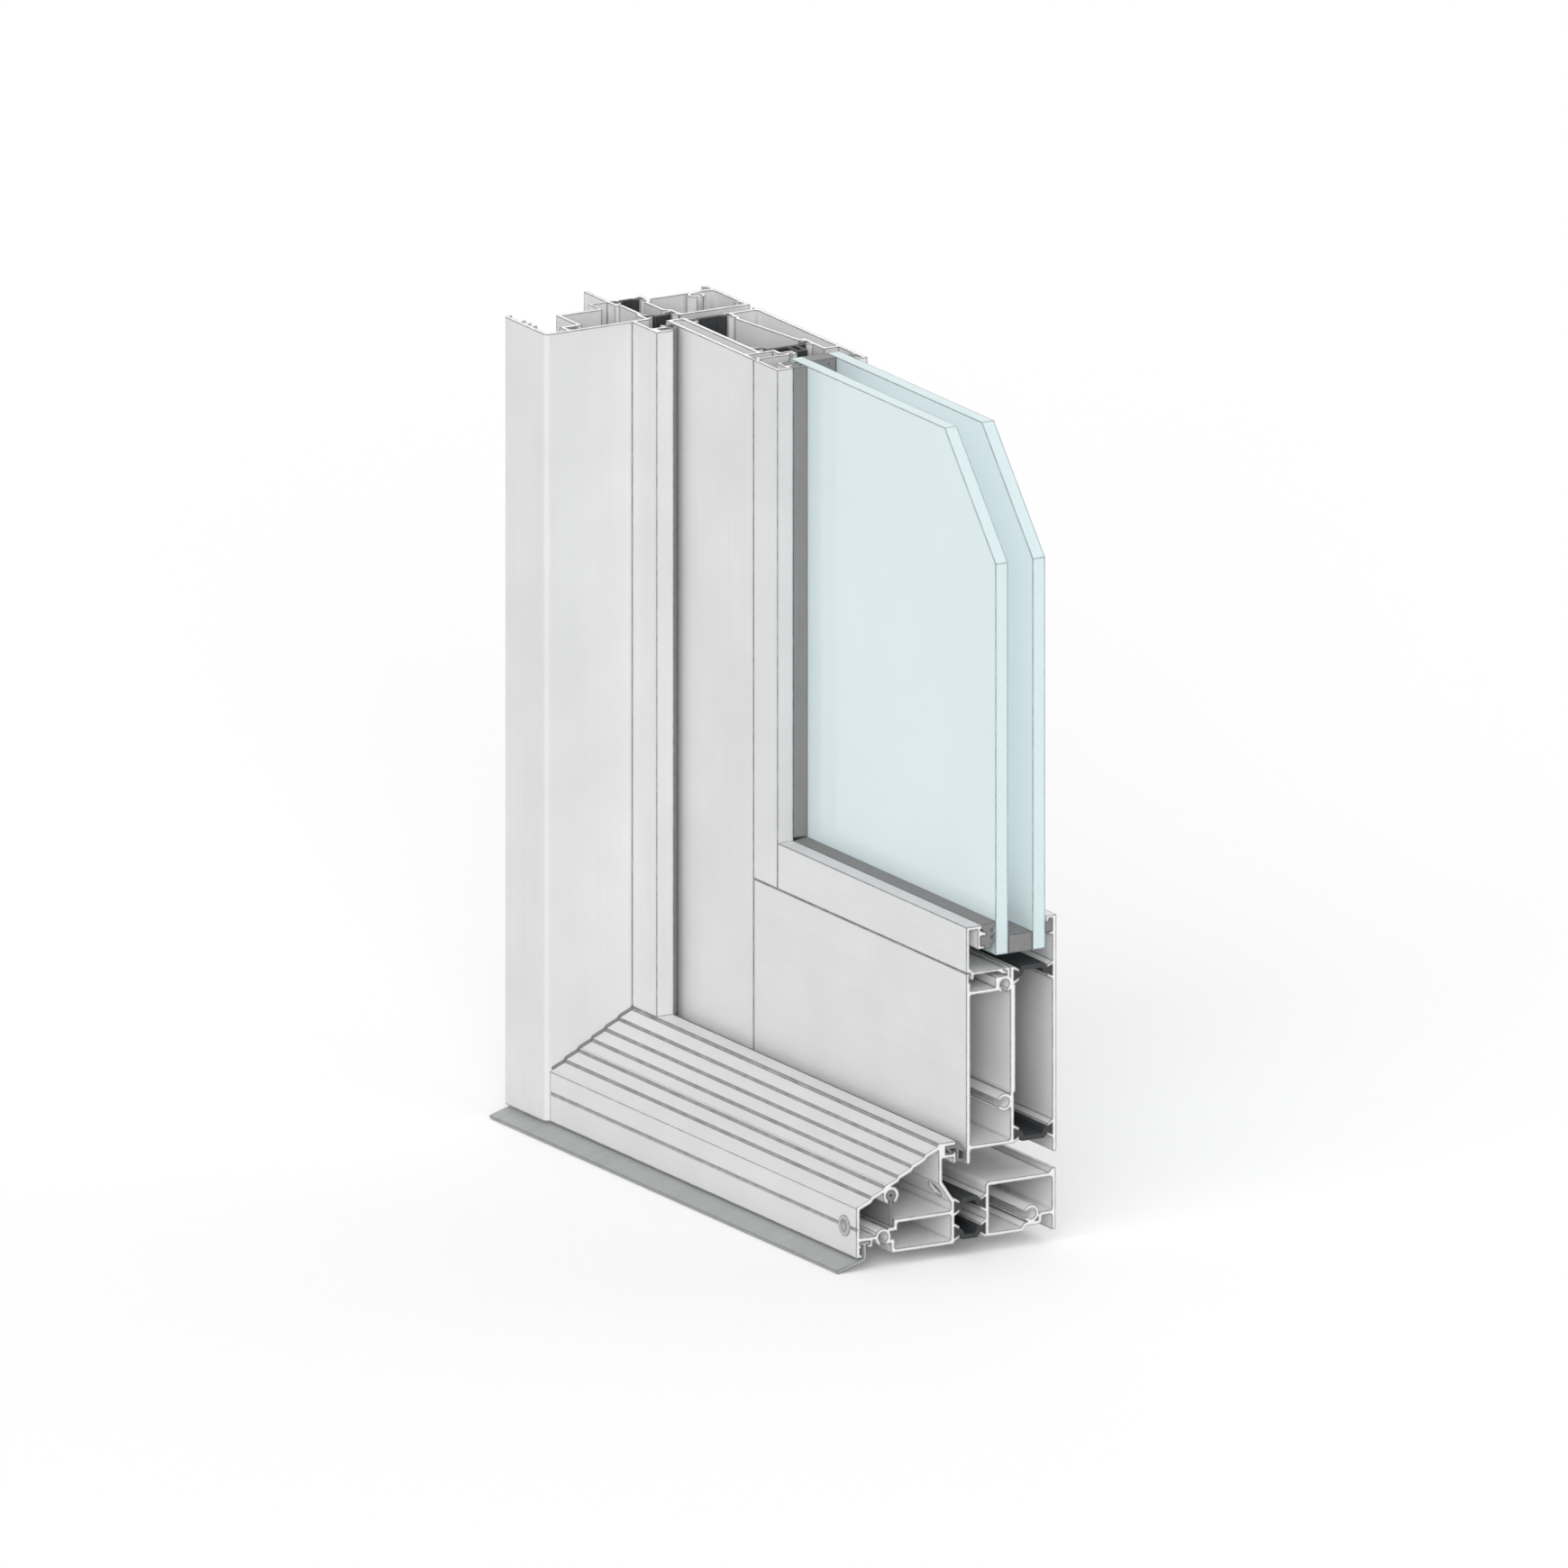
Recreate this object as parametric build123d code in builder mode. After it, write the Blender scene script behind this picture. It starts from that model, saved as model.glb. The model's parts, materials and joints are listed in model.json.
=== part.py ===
"""Lower corner of a hinged patio door in thermally broken aluminium, cut off to show its sections.

The jamb, the stepped sill and the corner of the glazed leaf are extrusions cut at the top and at one
end. X runs along the sill away from the jamb, Y runs from outside to inside and Z is up. The origin is
in the middle of the flat foot under the outer sill.

Every horizontal section is drawn as (depth, height) and every upright one as (depth, width), where depth
is measured from the inside face of the door and is negative towards the outside.
"""

from build123d import *

import os

# Overall sizes, in millimetres
sample_height = 342.5
sill_length = 257.5
frame_depth = 97.1
leaf_gap = 5.0

# Leaf and its glass
pane_thickness = 6.0
pane_cavity = 12.0
wedge_room = 14.2
inside_room = 5.5
leaf_bottom = 33.8
rail_height = 83.2
stile_width = 73.8
bead_width = 19.8
glass_edge_room = 5.9
spacer_width = 8.0
glass_clip_width = 43.0
glass_clip_height = 49.5
setting_block_length = 50.0
setting_block_inset = 30.0
setting_block_chamfer = 1.0

# Wall thicknesses
leaf_skin = 1.9
leaf_web = 1.7
bead_wall = 1.5
frame_wall = 1.7
lip_wall = 1.2
flashing_wall = 1.4

# Leaf sections, set out from the leaf's outer face, its foot and the floor of the glass rebate
rebate_floor = 9.0
rebate_reach = 14.9
thin_edge_wall = 1.3
thin_edge_height = 5.0
rail_floor_height = 7.0
rail_port_height = 24.6
rail_port_drop = 7.3
rail_lower_break_height = 10.1
rail_web_swell = 0.7
stile_box_depth = 8.9
stile_edge_return = 3.2
joint_chamfer = 0.4
leaf_round = 0.8

# Glazing bead with the pocket for its tongue, and the gaskets on both sides of the glass
pocket_reach = 20.5
pocket_wall = 1.3
pocket_floor = 4.3
pocket_hook = 1.8
bead_groove = 6.2
bead_groove_floor = 10.2
bead_catch_height = 15.2
bead_catch_reach = 3.3
bead_tooth = 3.2
fin_pitch = 3.2
gasket_crown = 1.0
inside_pocket_height = 7.7
inside_gasket_grip = 1.1
inside_hook = 2.0

# Thermal breaks: dovetail heads joined by a strip that bows aside
break_head_width = 5.0
break_neck_width = 2.5
break_head_length = 2.5
break_neck_length = 0.7
break_strip = 1.9
break_bow = 2.6
claw_wall = 1.4
rail_break_outer = 20.6
rail_break_offset = 4.0
stile_break_inner = 15.5
stile_glass_break_inner = 9.2
stile_edge_break_inset = 5.3
stile_glass_break_inset = 14.0
stile_break_bow = 2.4
stile_break_chamber = 4.0
stile_break_reach = 8.3
sill_break_outer = 49.5
sill_break_inner = 34.4
sill_upper_break_height = 16.0
sill_lower_break_height = 4.9
jamb_break_outer = 48.5
jamb_break_inner = 34.2
jamb_wall_break_inset = 31.0
jamb_leaf_break_inset = 4.7

# Screw ports
port_radius = 2.3
port_wall = 1.5
port_mouth = 2.6

# Stop with its seal
stop_depth = 13.4
stop_lip_gap = 5.1
seal_groove = 3.6
seal_lip = 1.5
seal_height = 9.2
seal_clearance = 0.4

# Sill
sill_height = 44.6
ramp_start_height = 22.5
ramp_steps = 6
riser_run = 0.95
riser_rise = 1.3
front_chamfer = 0.9
chamber_round = 1.0
front_line_groove = 0.6
front_room = 18.2
front_web_height = 7.7
front_port_setback = 5.2
front_port_height = 7.5
foot_height = 14.6
foot_step = 1.3
sill_inner_height = 24.9
sill_upturn = 1.9
sill_setback = 0.4
web_kink_low = 18.7
web_kink_high = 27.4
inner_floor = 1.8
inner_foot_depth = 16.4
inner_foot_slant = 1.2
inner_foot_rise = 2.2
inner_recess_depth = 7.9
inner_recess_height = 7.6
inner_port_depth = 12.2
inner_bend = 1.2
flap_port_setback = 1.4
flap_port_drop = 6.3
flap_wall = 1.4
flap_clearance = 0.55
drain_hole_inset = 8.6
drain_hole_radius = 4.0
weep_inset = 9.4
weep_height = 12.3
weep_ring_radius = 4.45
weep_bore_radius = 2.7
weep_ring_wall = 0.7
flashing_reach = 9.2
flashing_drop = 5.6
flashing_stem = 4.1
flashing_head = 4.5
flashing_head_wall = 1.1
flashing_head_height = 6.0
flashing_hook_setback = 7.3
flashing_hook_height = 4.7
flashing_hook = 1.9
flashing_bend = 1.2
flashing_overrun = 34.8

# Jamb
flange_projection = 2.1
flange_width = 35.5
flange_return = 2.4
flange_bend = 1.4
nub_start = 15.0
nub_pitch = 4.75
nub_reach = 3.4
nub_width = 2.4
corner_rib = 0.9
stop_width = 20.3
fin_width = 52.8
chamber_width = 25.3
chamber_setback = 17.6
reveal_foot_setback = 9.3
reveal_foot_width = 8.2
foot_tooth = 1.5
back_leg_width = 34.2
back_leg_reach = 8.9
outer_jog = 1.5
inner_jog = 2.6
inner_chamber_width = 30.0
jamb_port_depth = 11.8
jamb_rib_inset = 6.5
jamb_rib_reach = 4.0

# Butt hinge on the inside
hinge_height = 100.0
hinge_centre = 190.0
hinge_plate_width = 27.0
hinge_plate = 2.5
hinge_screw_pitch = 34.0
hinge_screw_radius = 2.2
hinge_sink_radius = 4.1
knuckle_radius = 5.0
knuckle_gap = 0.4
hinge_pin_radius = 2.5
pin_cap = 2.0
hinge_lift = 0.6

# Fits
break_fit = 0.05
gasket_fit = 0.1
pin_fit = 0.05
joint_gap = 0.4
flashing_fit = 0.3

# Places that follow from the sizes
glass_thickness = 2 * pane_thickness + pane_cavity
leaf_depth = wedge_room + glass_thickness + inside_room
leaf_face = -leaf_depth
glass_face = -(inside_room + glass_thickness)
rail_top = leaf_bottom + rail_height
x_reveal = -sill_length / 2
x_cut = sill_length / 2
x_leaf = x_reveal + leaf_gap
x_joint = x_leaf + stile_width
x_stop = x_reveal + stop_width
x_glass = x_joint + glass_edge_room
z_glass = rail_top + glass_edge_room
foot_depth = frame_depth - front_room - sill_break_outer
y_inside = sill_break_outer + (foot_depth + foot_step) / 2
rail_length = x_cut - x_joint
bead_length = rail_length - bead_width
stile_length = sample_height - leaf_bottom
stop_face = leaf_face - stop_depth
stop_lip = leaf_face - stop_lip_gap
stop_back = stop_face + 1.4 * frame_wall
pocket_line = leaf_face + pocket_reach
rebate_line = leaf_face + rebate_reach
claw_reach = break_head_width / 2 + break_fit + claw_wall
sill_front = -frame_depth
foot_front = -(sill_break_outer + foot_depth)


def lying(x, z):
    """Plane across a horizontal extrusion: depth and height, facing along +X."""
    return Plane(origin=(x, y_inside, z), x_dir=(0, 1, 0), z_dir=(1, 0, 0))


def standing(x, z):
    """Plane across an upright extrusion: depth and width, facing down from its top."""
    return Plane(origin=(x, y_inside, z), x_dir=(0, 1, 0), z_dir=(0, 0, -1))


def wall(thickness, *points):
    """Wall of one thickness along a centre line."""
    with BuildLine() as path:
        Polyline(*points)
    trace(path.line, line_width=thickness)


def bent_wall(thickness, radius, *points):
    """Wall of one thickness along a centre line with round bends."""
    with BuildLine() as path:
        FilletPolyline(*points, radius=radius)
    trace(path.line, line_width=thickness)


def round_corners(section, radius, *corners):
    """Round the corners of a section that lie nearest to the places given."""
    for corner in corners:
        fillet(section.vertices().sort_by_distance((*corner, 0))[0], radius)


def screw_port(depth, height, mouth_turn):
    """Round port with an open mouth, turned from +depth towards +height."""
    outer = port_radius + port_wall
    with Locations((depth, height)):
        Circle(outer)
        Circle(port_radius, mode=Mode.SUBTRACT)
    with Locations(Location((depth, height), mouth_turn)):
        Rectangle(
            outer + port_wall, port_mouth, align=(Align.MIN, Align.CENTER), mode=Mode.SUBTRACT
        )


def claws(seat, centre, side):
    """Two claws that hold a dovetail head on a wall; side is the way they point in depth."""
    half_head = break_head_width / 2 + break_fit
    half_neck = break_neck_width / 2 + break_fit
    for turn in (1, -1):
        Polygon(
            (seat - side * leaf_web / 2, centre + turn * half_head),
            (seat, centre + turn * half_head),
            (seat + side * break_head_length, centre + turn * half_neck),
            (seat + side * break_head_length, centre + turn * (half_neck + claw_wall * 0.8)),
            (seat, centre + turn * (half_head + claw_wall)),
            (seat - side * leaf_web / 2, centre + turn * (half_head + claw_wall)),
            align=None,
        )


def thermal_break(outer_seat, inner_seat, centre, bow):
    """Strip between two seats with a dovetail head at each end, bowed aside between them."""
    first = outer_seat + break_fit
    last = inner_seat - break_fit
    step = break_head_length + break_neck_length
    ramp = break_bow / 2
    wall(
        break_strip,
        (first, centre),
        (outer_seat + step, centre),
        (outer_seat + step + ramp, centre + bow),
        (inner_seat - step - ramp, centre + bow),
        (inner_seat - step, centre),
        (last, centre),
    )
    for seat, side in ((first, 1), (last, -1)):
        Polygon(
            (seat, centre - break_head_width / 2),
            (seat + side * break_head_length, centre - break_neck_width / 2),
            (seat + side * break_head_length, centre + break_neck_width / 2),
            (seat, centre + break_head_width / 2),
            align=None,
        )


def bead_pocket():
    """Pocket in the rebate that takes the tongue of a glazing bead."""
    wall(
        pocket_wall,
        (rebate_line - leaf_web / 2, -pocket_floor),
        (pocket_line, -pocket_floor),
        (pocket_line, -pocket_wall / 2),
        (pocket_line - pocket_hook, -pocket_wall / 2),
    )


def thin_edge():
    """Thinned edge of the outer skin beside the bead's tooth."""
    edge_line = leaf_face + thin_edge_wall / 2
    wall(thin_edge_wall, (edge_line, -thin_edge_height), (edge_line, -joint_gap))


def inside_pocket():
    """Pocket on the glazing leg that holds the inside gasket, open towards the glass."""
    top = bead_width - lip_wall / 2
    low = bead_width - inside_pocket_height
    reach = -(inside_room - inside_gasket_grip)
    wall(lip_wall, (-leaf_skin / 2, low), (reach + 0.75 * lip_wall, low))
    wall(lip_wall, (-leaf_skin / 2, top), (reach, top), (reach, top - inside_hook))


def inside_gasket():
    """Block gasket between the inner pane and its pocket."""
    low = bead_width - inside_pocket_height + lip_wall / 2 + gasket_fit
    mouth = bead_width - lip_wall / 2 - inside_hook - gasket_fit
    top = bead_width - lip_wall - gasket_fit
    inner = -(inside_room - inside_gasket_grip) + lip_wall / 2 + gasket_fit
    Polygon(
        (-inside_room + break_fit, low),
        (-leaf_skin - gasket_fit, low),
        (-leaf_skin - gasket_fit, top),
        (inner, top),
        (inner, mouth),
        (-inside_room + break_fit, mouth),
        align=None,
    )


def glazing_bead():
    """Snap-in bead: face, top, gasket groove, tooth behind the skin and tongue."""
    top = bead_width - bead_wall / 2
    groove = leaf_face + bead_groove
    catch = groove + bead_catch_reach
    wall(
        bead_wall,
        (groove + bead_wall, top),
        (leaf_face + bead_wall / 2, top),
        (leaf_face + bead_wall / 2, bead_wall / 2),
        (leaf_face + 1.6 * bead_wall, bead_wall / 2),
    )
    wall(
        lip_wall,
        (leaf_face + bead_wall, lip_wall / 2),
        (leaf_face + 2.8 * lip_wall, -lip_wall / 2),
        (pocket_line - 3.2 * lip_wall, -lip_wall / 2),
    )
    wall(
        lip_wall, (groove, top), (groove, bead_groove_floor), (groove + 2 * lip_wall, bead_groove_floor)
    )
    Polygon(
        (groove, bead_catch_height + 2 * lip_wall),
        (catch, bead_catch_height + lip_wall),
        (catch, bead_catch_height),
        (groove, bead_catch_height),
        align=None,
    )
    Polygon(
        (leaf_face + 1.9 * lip_wall, -lip_wall / 3),
        (leaf_face + 3.1 * lip_wall, -lip_wall / 3),
        (leaf_face + 2.9 * lip_wall, -bead_tooth),
        (leaf_face + 1.85 * lip_wall, -bead_tooth),
        align=None,
    )
    Polygon(
        (pocket_line - 4.3 * lip_wall, 0),
        (pocket_line - 2.7 * lip_wall, 0),
        (pocket_line - 1.8 * lip_wall, -1.25 * lip_wall),
        (pocket_line - 0.75 * lip_wall, -1.25 * lip_wall),
        (pocket_line - 0.75 * lip_wall, -2.2 * lip_wall),
        (pocket_line - 2.3 * lip_wall, -2.2 * lip_wall),
        (pocket_line - 4.3 * lip_wall, -lip_wall),
        align=None,
    )


def wedge_gasket():
    """Wedge between bead and outer pane, rooted in the bead's groove, with fins on the glass."""
    groove = leaf_face + bead_groove
    root = groove + lip_wall / 2 + gasket_fit
    neck = groove + bead_wall + gasket_fit
    tail = groove + 2 * lip_wall + gasket_fit
    flank = groove + bead_catch_reach + gasket_fit
    glass = glass_face - gasket_fit / 2
    valley = (flank + glass) / 2
    low = bead_groove_floor + lip_wall / 2 + gasket_fit
    foot = bead_groove_floor - 0.67 * lip_wall
    fins = []
    for fin in range(3):
        height = bead_width - fin_pitch * (fin + 0.45)
        fins.append((glass, height + fin_pitch / 16))
        fins.append((valley, height - fin_pitch / 5))
        fins.append((valley, height - fin_pitch / 2))
    Polygon(
        (neck, bead_width),
        (glass, bead_width + gasket_crown),
        *fins,
        (valley, foot),
        (tail, foot),
        (tail, low),
        (root, low),
        (root, bead_catch_height - gasket_fit),
        (flank, bead_catch_height - gasket_fit),
        (flank, bead_catch_height + lip_wall + gasket_fit),
        (neck, bead_catch_height + 1.8 * lip_wall),
        align=None,
    )


def seal_seat(edge):
    """Stop lip and hook that hold the closing seal; edge is the outer face of the stop."""
    low = edge - frame_wall - seal_groove
    hook_line = stop_lip - lip_wall / 2
    stop_line = stop_face + frame_wall / 2
    wall(frame_wall, (stop_face, edge - frame_wall / 2), (stop_lip, edge - frame_wall / 2))
    wall(frame_wall, (stop_line, edge), (stop_line, low - seal_lip))
    wall(frame_wall, (stop_back, edge - frame_wall / 2), (stop_back, low))
    wall(seal_lip, (stop_line, low - seal_lip / 2), (hook_line, low - seal_lip / 2))
    wall(lip_wall, (hook_line, low + lip_wall / 2), (hook_line, low - 3.5 * lip_wall))


def closing_seal(edge):
    """Hollow seal between the stop and the leaf, drawn in tenths of its height, with a barbed root."""
    tenth = seal_height / 10
    face = leaf_face - seal_clearance
    back = stop_lip + gasket_fit
    floor = stop_back + frame_wall / 2 + gasket_fit
    roof = edge - frame_wall - gasket_fit
    bottom = edge - seal_height
    low = edge - frame_wall - seal_groove
    Polygon(
        (back, edge),
        (back + tenth, edge - tenth / 9),
        (face, edge - 5 * tenth),
        (face, bottom),
        (back, bottom),
        align=None,
    )
    Polygon(
        (back + 1.6 * tenth, edge - 4.4 * tenth),
        (face - 1.1 * tenth, edge - 5.7 * tenth),
        (face - 1.1 * tenth, bottom + 1.5 * tenth),
        (back + 1.6 * tenth, bottom + 1.5 * tenth),
        align=None,
        mode=Mode.SUBTRACT,
    )
    Polygon(
        (back + gasket_fit, roof),
        (floor, roof),
        (floor, roof - 0.9 * tenth),
        (floor + 2.8 * tenth, low + gasket_fit),
        (floor + 3.7 * tenth, low + tenth),
        (floor + 2.1 * tenth, roof - 1.4 * tenth),
        (back + gasket_fit, roof - 1.4 * tenth),
        align=None,
    )


# Bottom rail of the leaf
with BuildPart() as rail_outer_profile:
    with BuildSketch(lying(x_joint, rail_top)) as rail_section:
        skin_line = leaf_face + leaf_skin / 2
        inner_line = -rail_break_outer - leaf_web / 2
        port_line = inner_line - port_radius - 0.9 * port_wall
        floor_line = -rail_height + rail_floor_height
        foot_line = -rail_height + leaf_skin / 2
        swell_line = -rail_break_outer + rail_web_swell / 2
        wall(leaf_skin, (skin_line, -0.9 * thin_edge_height), (skin_line, foot_line))
        with Locations((skin_line, foot_line)):
            Circle(leaf_skin / 2)
        thin_edge()
        wall(leaf_web, (skin_line, floor_line), (inner_line, floor_line), (inner_line, 0))
        wall(
            rail_web_swell,
            (swell_line, -rail_height + rail_port_height + port_radius + port_wall),
            (swell_line, -rail_break_offset - claw_reach),
        )
        wall(leaf_web, (skin_line, -rebate_floor), (rebate_line + leaf_web / 2, -rebate_floor))
        screw_port(port_line, -rail_height + rail_port_height, 180)
        screw_port(port_line, -rail_port_drop, 270)
        wall(leaf_web, (rebate_line, -rebate_floor), (rebate_line, -pocket_floor))
        bead_pocket()
        claws(-rail_break_outer, -rail_break_offset, 1)
        claws(-rail_break_outer, -rail_height + rail_lower_break_height, 1)
        skin_inside = leaf_face + leaf_skin
        round_corners(
            rail_section,
            leaf_round,
            (skin_inside, -rebate_floor - leaf_web / 2),
            (skin_inside, floor_line + leaf_web / 2),
            (skin_inside, floor_line - leaf_web / 2),
            (inner_line - leaf_web / 2, floor_line + leaf_web / 2),
        )
    extrude(amount=rail_length)
    joint_face = rail_outer_profile.faces().sort_by(Axis.X)[0]
    chamfer(joint_face.edges().sort_by(Axis.Y)[0], joint_chamfer)
rail_outer_profile.part.label = "rail_outer_profile"

with BuildPart() as rail_inner_profile:
    with BuildSketch(lying(x_joint + bead_width, rail_top)):
        wall(leaf_skin, (-leaf_skin / 2, bead_width), (-leaf_skin / 2, -rail_height + leaf_skin / 2))
        with Locations((-leaf_skin / 2, -rail_height + leaf_skin / 2)):
            Circle(leaf_skin / 2)
        inside_pocket()
        claws(-leaf_skin, -rail_break_offset, -1)
        claws(-leaf_skin, -rail_height + rail_lower_break_height, -1)
    extrude(amount=bead_length)
rail_inner_profile.part.label = "rail_inner_profile"

with BuildPart() as rail_upper_break:
    with BuildSketch(lying(x_joint + bead_width, rail_top)):
        thermal_break(-rail_break_outer, -leaf_skin, -rail_break_offset, break_bow)
    extrude(amount=bead_length)
rail_upper_break.part.label = "rail_upper_break"

with BuildPart() as rail_lower_break:
    with BuildSketch(lying(x_joint + bead_width, rail_top)):
        thermal_break(-rail_break_outer, -leaf_skin, -rail_height + rail_lower_break_height, -break_bow)
    extrude(amount=bead_length)
rail_lower_break.part.label = "rail_lower_break"

with BuildPart() as rail_bead:
    with BuildSketch(lying(x_joint + bead_width + joint_gap, rail_top)):
        glazing_bead()
    extrude(amount=bead_length - joint_gap)
rail_bead.part.label = "rail_bead"

with BuildPart() as rail_wedge_gasket:
    with BuildSketch(lying(x_joint + bead_width + joint_gap, rail_top)):
        wedge_gasket()
    extrude(amount=bead_length - joint_gap)
rail_wedge_gasket.part.label = "rail_wedge_gasket"

with BuildPart() as rail_inside_gasket:
    with BuildSketch(lying(x_joint + bead_width, rail_top)):
        inside_gasket()
    extrude(amount=bead_length)
rail_inside_gasket.part.label = "rail_inside_gasket"

# Upright stile of the leaf
back_line = leaf_face + stile_box_depth - leaf_skin / 2
stile_seat = back_line + leaf_skin / 2
edge_break_centre = -stile_width + stile_edge_break_inset
glass_break_centre = -stile_glass_break_inset

with BuildPart() as stile_outer_profile:
    with BuildSketch(standing(x_joint, sample_height)) as stile_section:
        edge_line = -stile_width + leaf_web / 2
        wall(leaf_skin, (skin_line, -stile_width), (skin_line, -0.9 * thin_edge_height))
        thin_edge()
        wall(leaf_skin, (back_line, -stile_width), (back_line, -rebate_floor))
        wall(leaf_web, (skin_line, edge_line), (back_line, edge_line))
        wall(
            leaf_web,
            (skin_line, -rebate_floor),
            (rebate_line, -rebate_floor),
            (rebate_line, -pocket_floor),
        )
        bead_pocket()
        claws(stile_seat, edge_break_centre, 1)
        claws(stile_seat, glass_break_centre, 1)
        round_corners(
            stile_section,
            leaf_round,
            (skin_inside, edge_line + leaf_web / 2),
            (skin_inside, -rebate_floor - leaf_web / 2),
            (back_line - leaf_skin / 2, edge_line + leaf_web / 2),
        )
    extrude(amount=stile_length)
stile_outer_profile.part.label = "stile_outer_profile"

with BuildPart() as stile_inner_profile:
    with BuildSketch(standing(x_joint, sample_height)) as stile_section:
        edge_seat = -stile_break_inner + leaf_web / 2
        glass_seat = -stile_glass_break_inner + leaf_web / 2
        edge_return = -stile_width + stile_edge_return
        edge_bend = edge_break_centre + claw_reach + claw_wall
        glass_bend = glass_break_centre - claw_reach - claw_wall / 2
        wall(leaf_skin, (-leaf_skin / 2, -stile_width), (-leaf_skin / 2, bead_width))
        wall(
            leaf_web,
            (-leaf_skin / 2, edge_return),
            (edge_seat, edge_return),
            (edge_seat, edge_bend),
            (edge_seat - claw_wall, edge_bend + claw_wall),
            (glass_seat - break_head_length, glass_bend),
            (glass_seat, glass_bend),
            (glass_seat, -leaf_web),
            (-leaf_skin / 2, -leaf_web),
        )
        inside_pocket()
        claws(-stile_break_inner, edge_break_centre, -1)
        claws(-stile_glass_break_inner, glass_break_centre, -1)
        round_corners(
            stile_section,
            leaf_round,
            (-leaf_skin, edge_return + leaf_web / 2),
            (edge_seat + leaf_web / 2, edge_return + leaf_web / 2),
            (-leaf_skin, -1.5 * leaf_web),
            (glass_seat + leaf_web / 2, -1.5 * leaf_web),
        )
    extrude(amount=stile_length)
stile_inner_profile.part.label = "stile_inner_profile"

with BuildPart() as stile_edge_break:
    with BuildSketch(standing(x_joint, sample_height)):
        thermal_break(stile_seat, -stile_break_inner, edge_break_centre, -break_bow / 2)
    extrude(amount=stile_length)
stile_edge_break.part.label = "stile_edge_break"

with BuildPart() as stile_glass_break:
    with BuildSketch(standing(x_joint, sample_height)):
        thermal_break(stile_seat, -stile_glass_break_inner, glass_break_centre, stile_break_bow)
        chamber_edge = pocket_line + 2 * pocket_wall - gasket_fit
        strip_line = glass_break_centre + stile_break_bow
        wall(
            break_strip * 0.75,
            (chamber_edge, strip_line),
            (chamber_edge, strip_line + stile_break_reach),
            (chamber_edge + stile_break_chamber, strip_line + stile_break_reach),
            (chamber_edge + stile_break_chamber, strip_line),
        )
    extrude(amount=stile_length)
stile_glass_break.part.label = "stile_glass_break"

with BuildPart() as stile_bead:
    with BuildSketch(standing(x_joint, sample_height)):
        glazing_bead()
    extrude(amount=sample_height - rail_top)
stile_bead.part.label = "stile_bead"

with BuildPart() as stile_wedge_gasket:
    with BuildSketch(standing(x_joint, sample_height)):
        wedge_gasket()
    extrude(amount=sample_height - rail_top - bead_width - gasket_crown - joint_gap)
stile_wedge_gasket.part.label = "stile_wedge_gasket"

with BuildPart() as stile_inside_gasket:
    with BuildSketch(standing(x_joint, sample_height)):
        inside_gasket()
    extrude(amount=sample_height - rail_top)
stile_inside_gasket.part.label = "stile_inside_gasket"


def pane_outline():
    """Sheet of glass with its free top corner cut away, seen from outside."""
    Polygon(
        (x_glass, z_glass),
        (x_cut, z_glass),
        (x_cut, sample_height - glass_clip_height),
        (x_cut - glass_clip_width, sample_height),
        (x_glass, sample_height),
        align=None,
    )


# Sealed glass unit
with BuildPart() as outer_pane:
    with BuildSketch(Plane.XZ.offset(-(y_inside + glass_face))):
        pane_outline()
    extrude(amount=-pane_thickness)
outer_pane.part.label = "outer_pane"

with BuildPart() as inner_pane:
    with BuildSketch(Plane.XZ.offset(-(y_inside - inside_room))):
        pane_outline()
    extrude(amount=pane_thickness)
inner_pane.part.label = "inner_pane"

cavity_plane = Plane.XZ.offset(-(y_inside + glass_face + pane_thickness))

with BuildPart() as stile_spacer:
    with BuildSketch(cavity_plane):
        with Locations((x_glass, z_glass)):
            Rectangle(spacer_width, sample_height - z_glass, align=Align.MIN)
    extrude(amount=-pane_cavity)
stile_spacer.part.label = "stile_spacer"

with BuildPart() as rail_spacer:
    with BuildSketch(cavity_plane):
        with Locations((x_glass + spacer_width, z_glass)):
            Rectangle(x_cut - x_glass - spacer_width, spacer_width, align=Align.MIN)
    extrude(amount=-pane_cavity)
rail_spacer.part.label = "rail_spacer"

with BuildPart() as setting_block:
    with BuildSketch(lying(x_glass + setting_block_inset, rail_top)):
        with Locations((-inside_room - setting_block_chamfer, 0)):
            Rectangle(glass_thickness - pane_thickness, glass_edge_room, align=(Align.MAX, Align.MIN))
    extrude(amount=setting_block_length)
    chamfer(setting_block.edges().filter_by(Axis.Z), setting_block_chamfer)
setting_block.part.label = "setting_block"

# Sill
ramp_run = frame_depth - front_chamfer + stop_face
ramp_rise = sill_height - ramp_start_height
step_run = ramp_run / ramp_steps
step_rise = ramp_rise / ramp_steps
ramp = [(sill_front + front_chamfer, ramp_start_height)]
for step in range(ramp_steps):
    foot = (sill_front + front_chamfer + step * step_run, ramp_start_height + step * step_rise)
    ramp.append((foot[0] + step_run - riser_run, foot[1] + step_rise - riser_rise))
    ramp.append((foot[0] + step_run, foot[1] + step_rise))

web_line = stop_face + frame_wall / 2
sill_seat_line = -sill_break_outer - frame_wall / 2
foot_line = foot_front + frame_wall / 2
toe_line = foot_line - foot_step
front_line = sill_front + frame_wall / 2
port_depth = foot_front - front_port_setback
port_low = front_port_height - port_radius
port_high = front_port_height + 2 * port_wall
port_side = port_depth + port_radius
flap_depth = foot_front - flap_port_setback
ramp_at_flap = ramp_start_height + (flap_depth - ramp[0][0]) * ramp_rise / ramp_run
flap_height = ramp_at_flap - flap_port_drop

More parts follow.
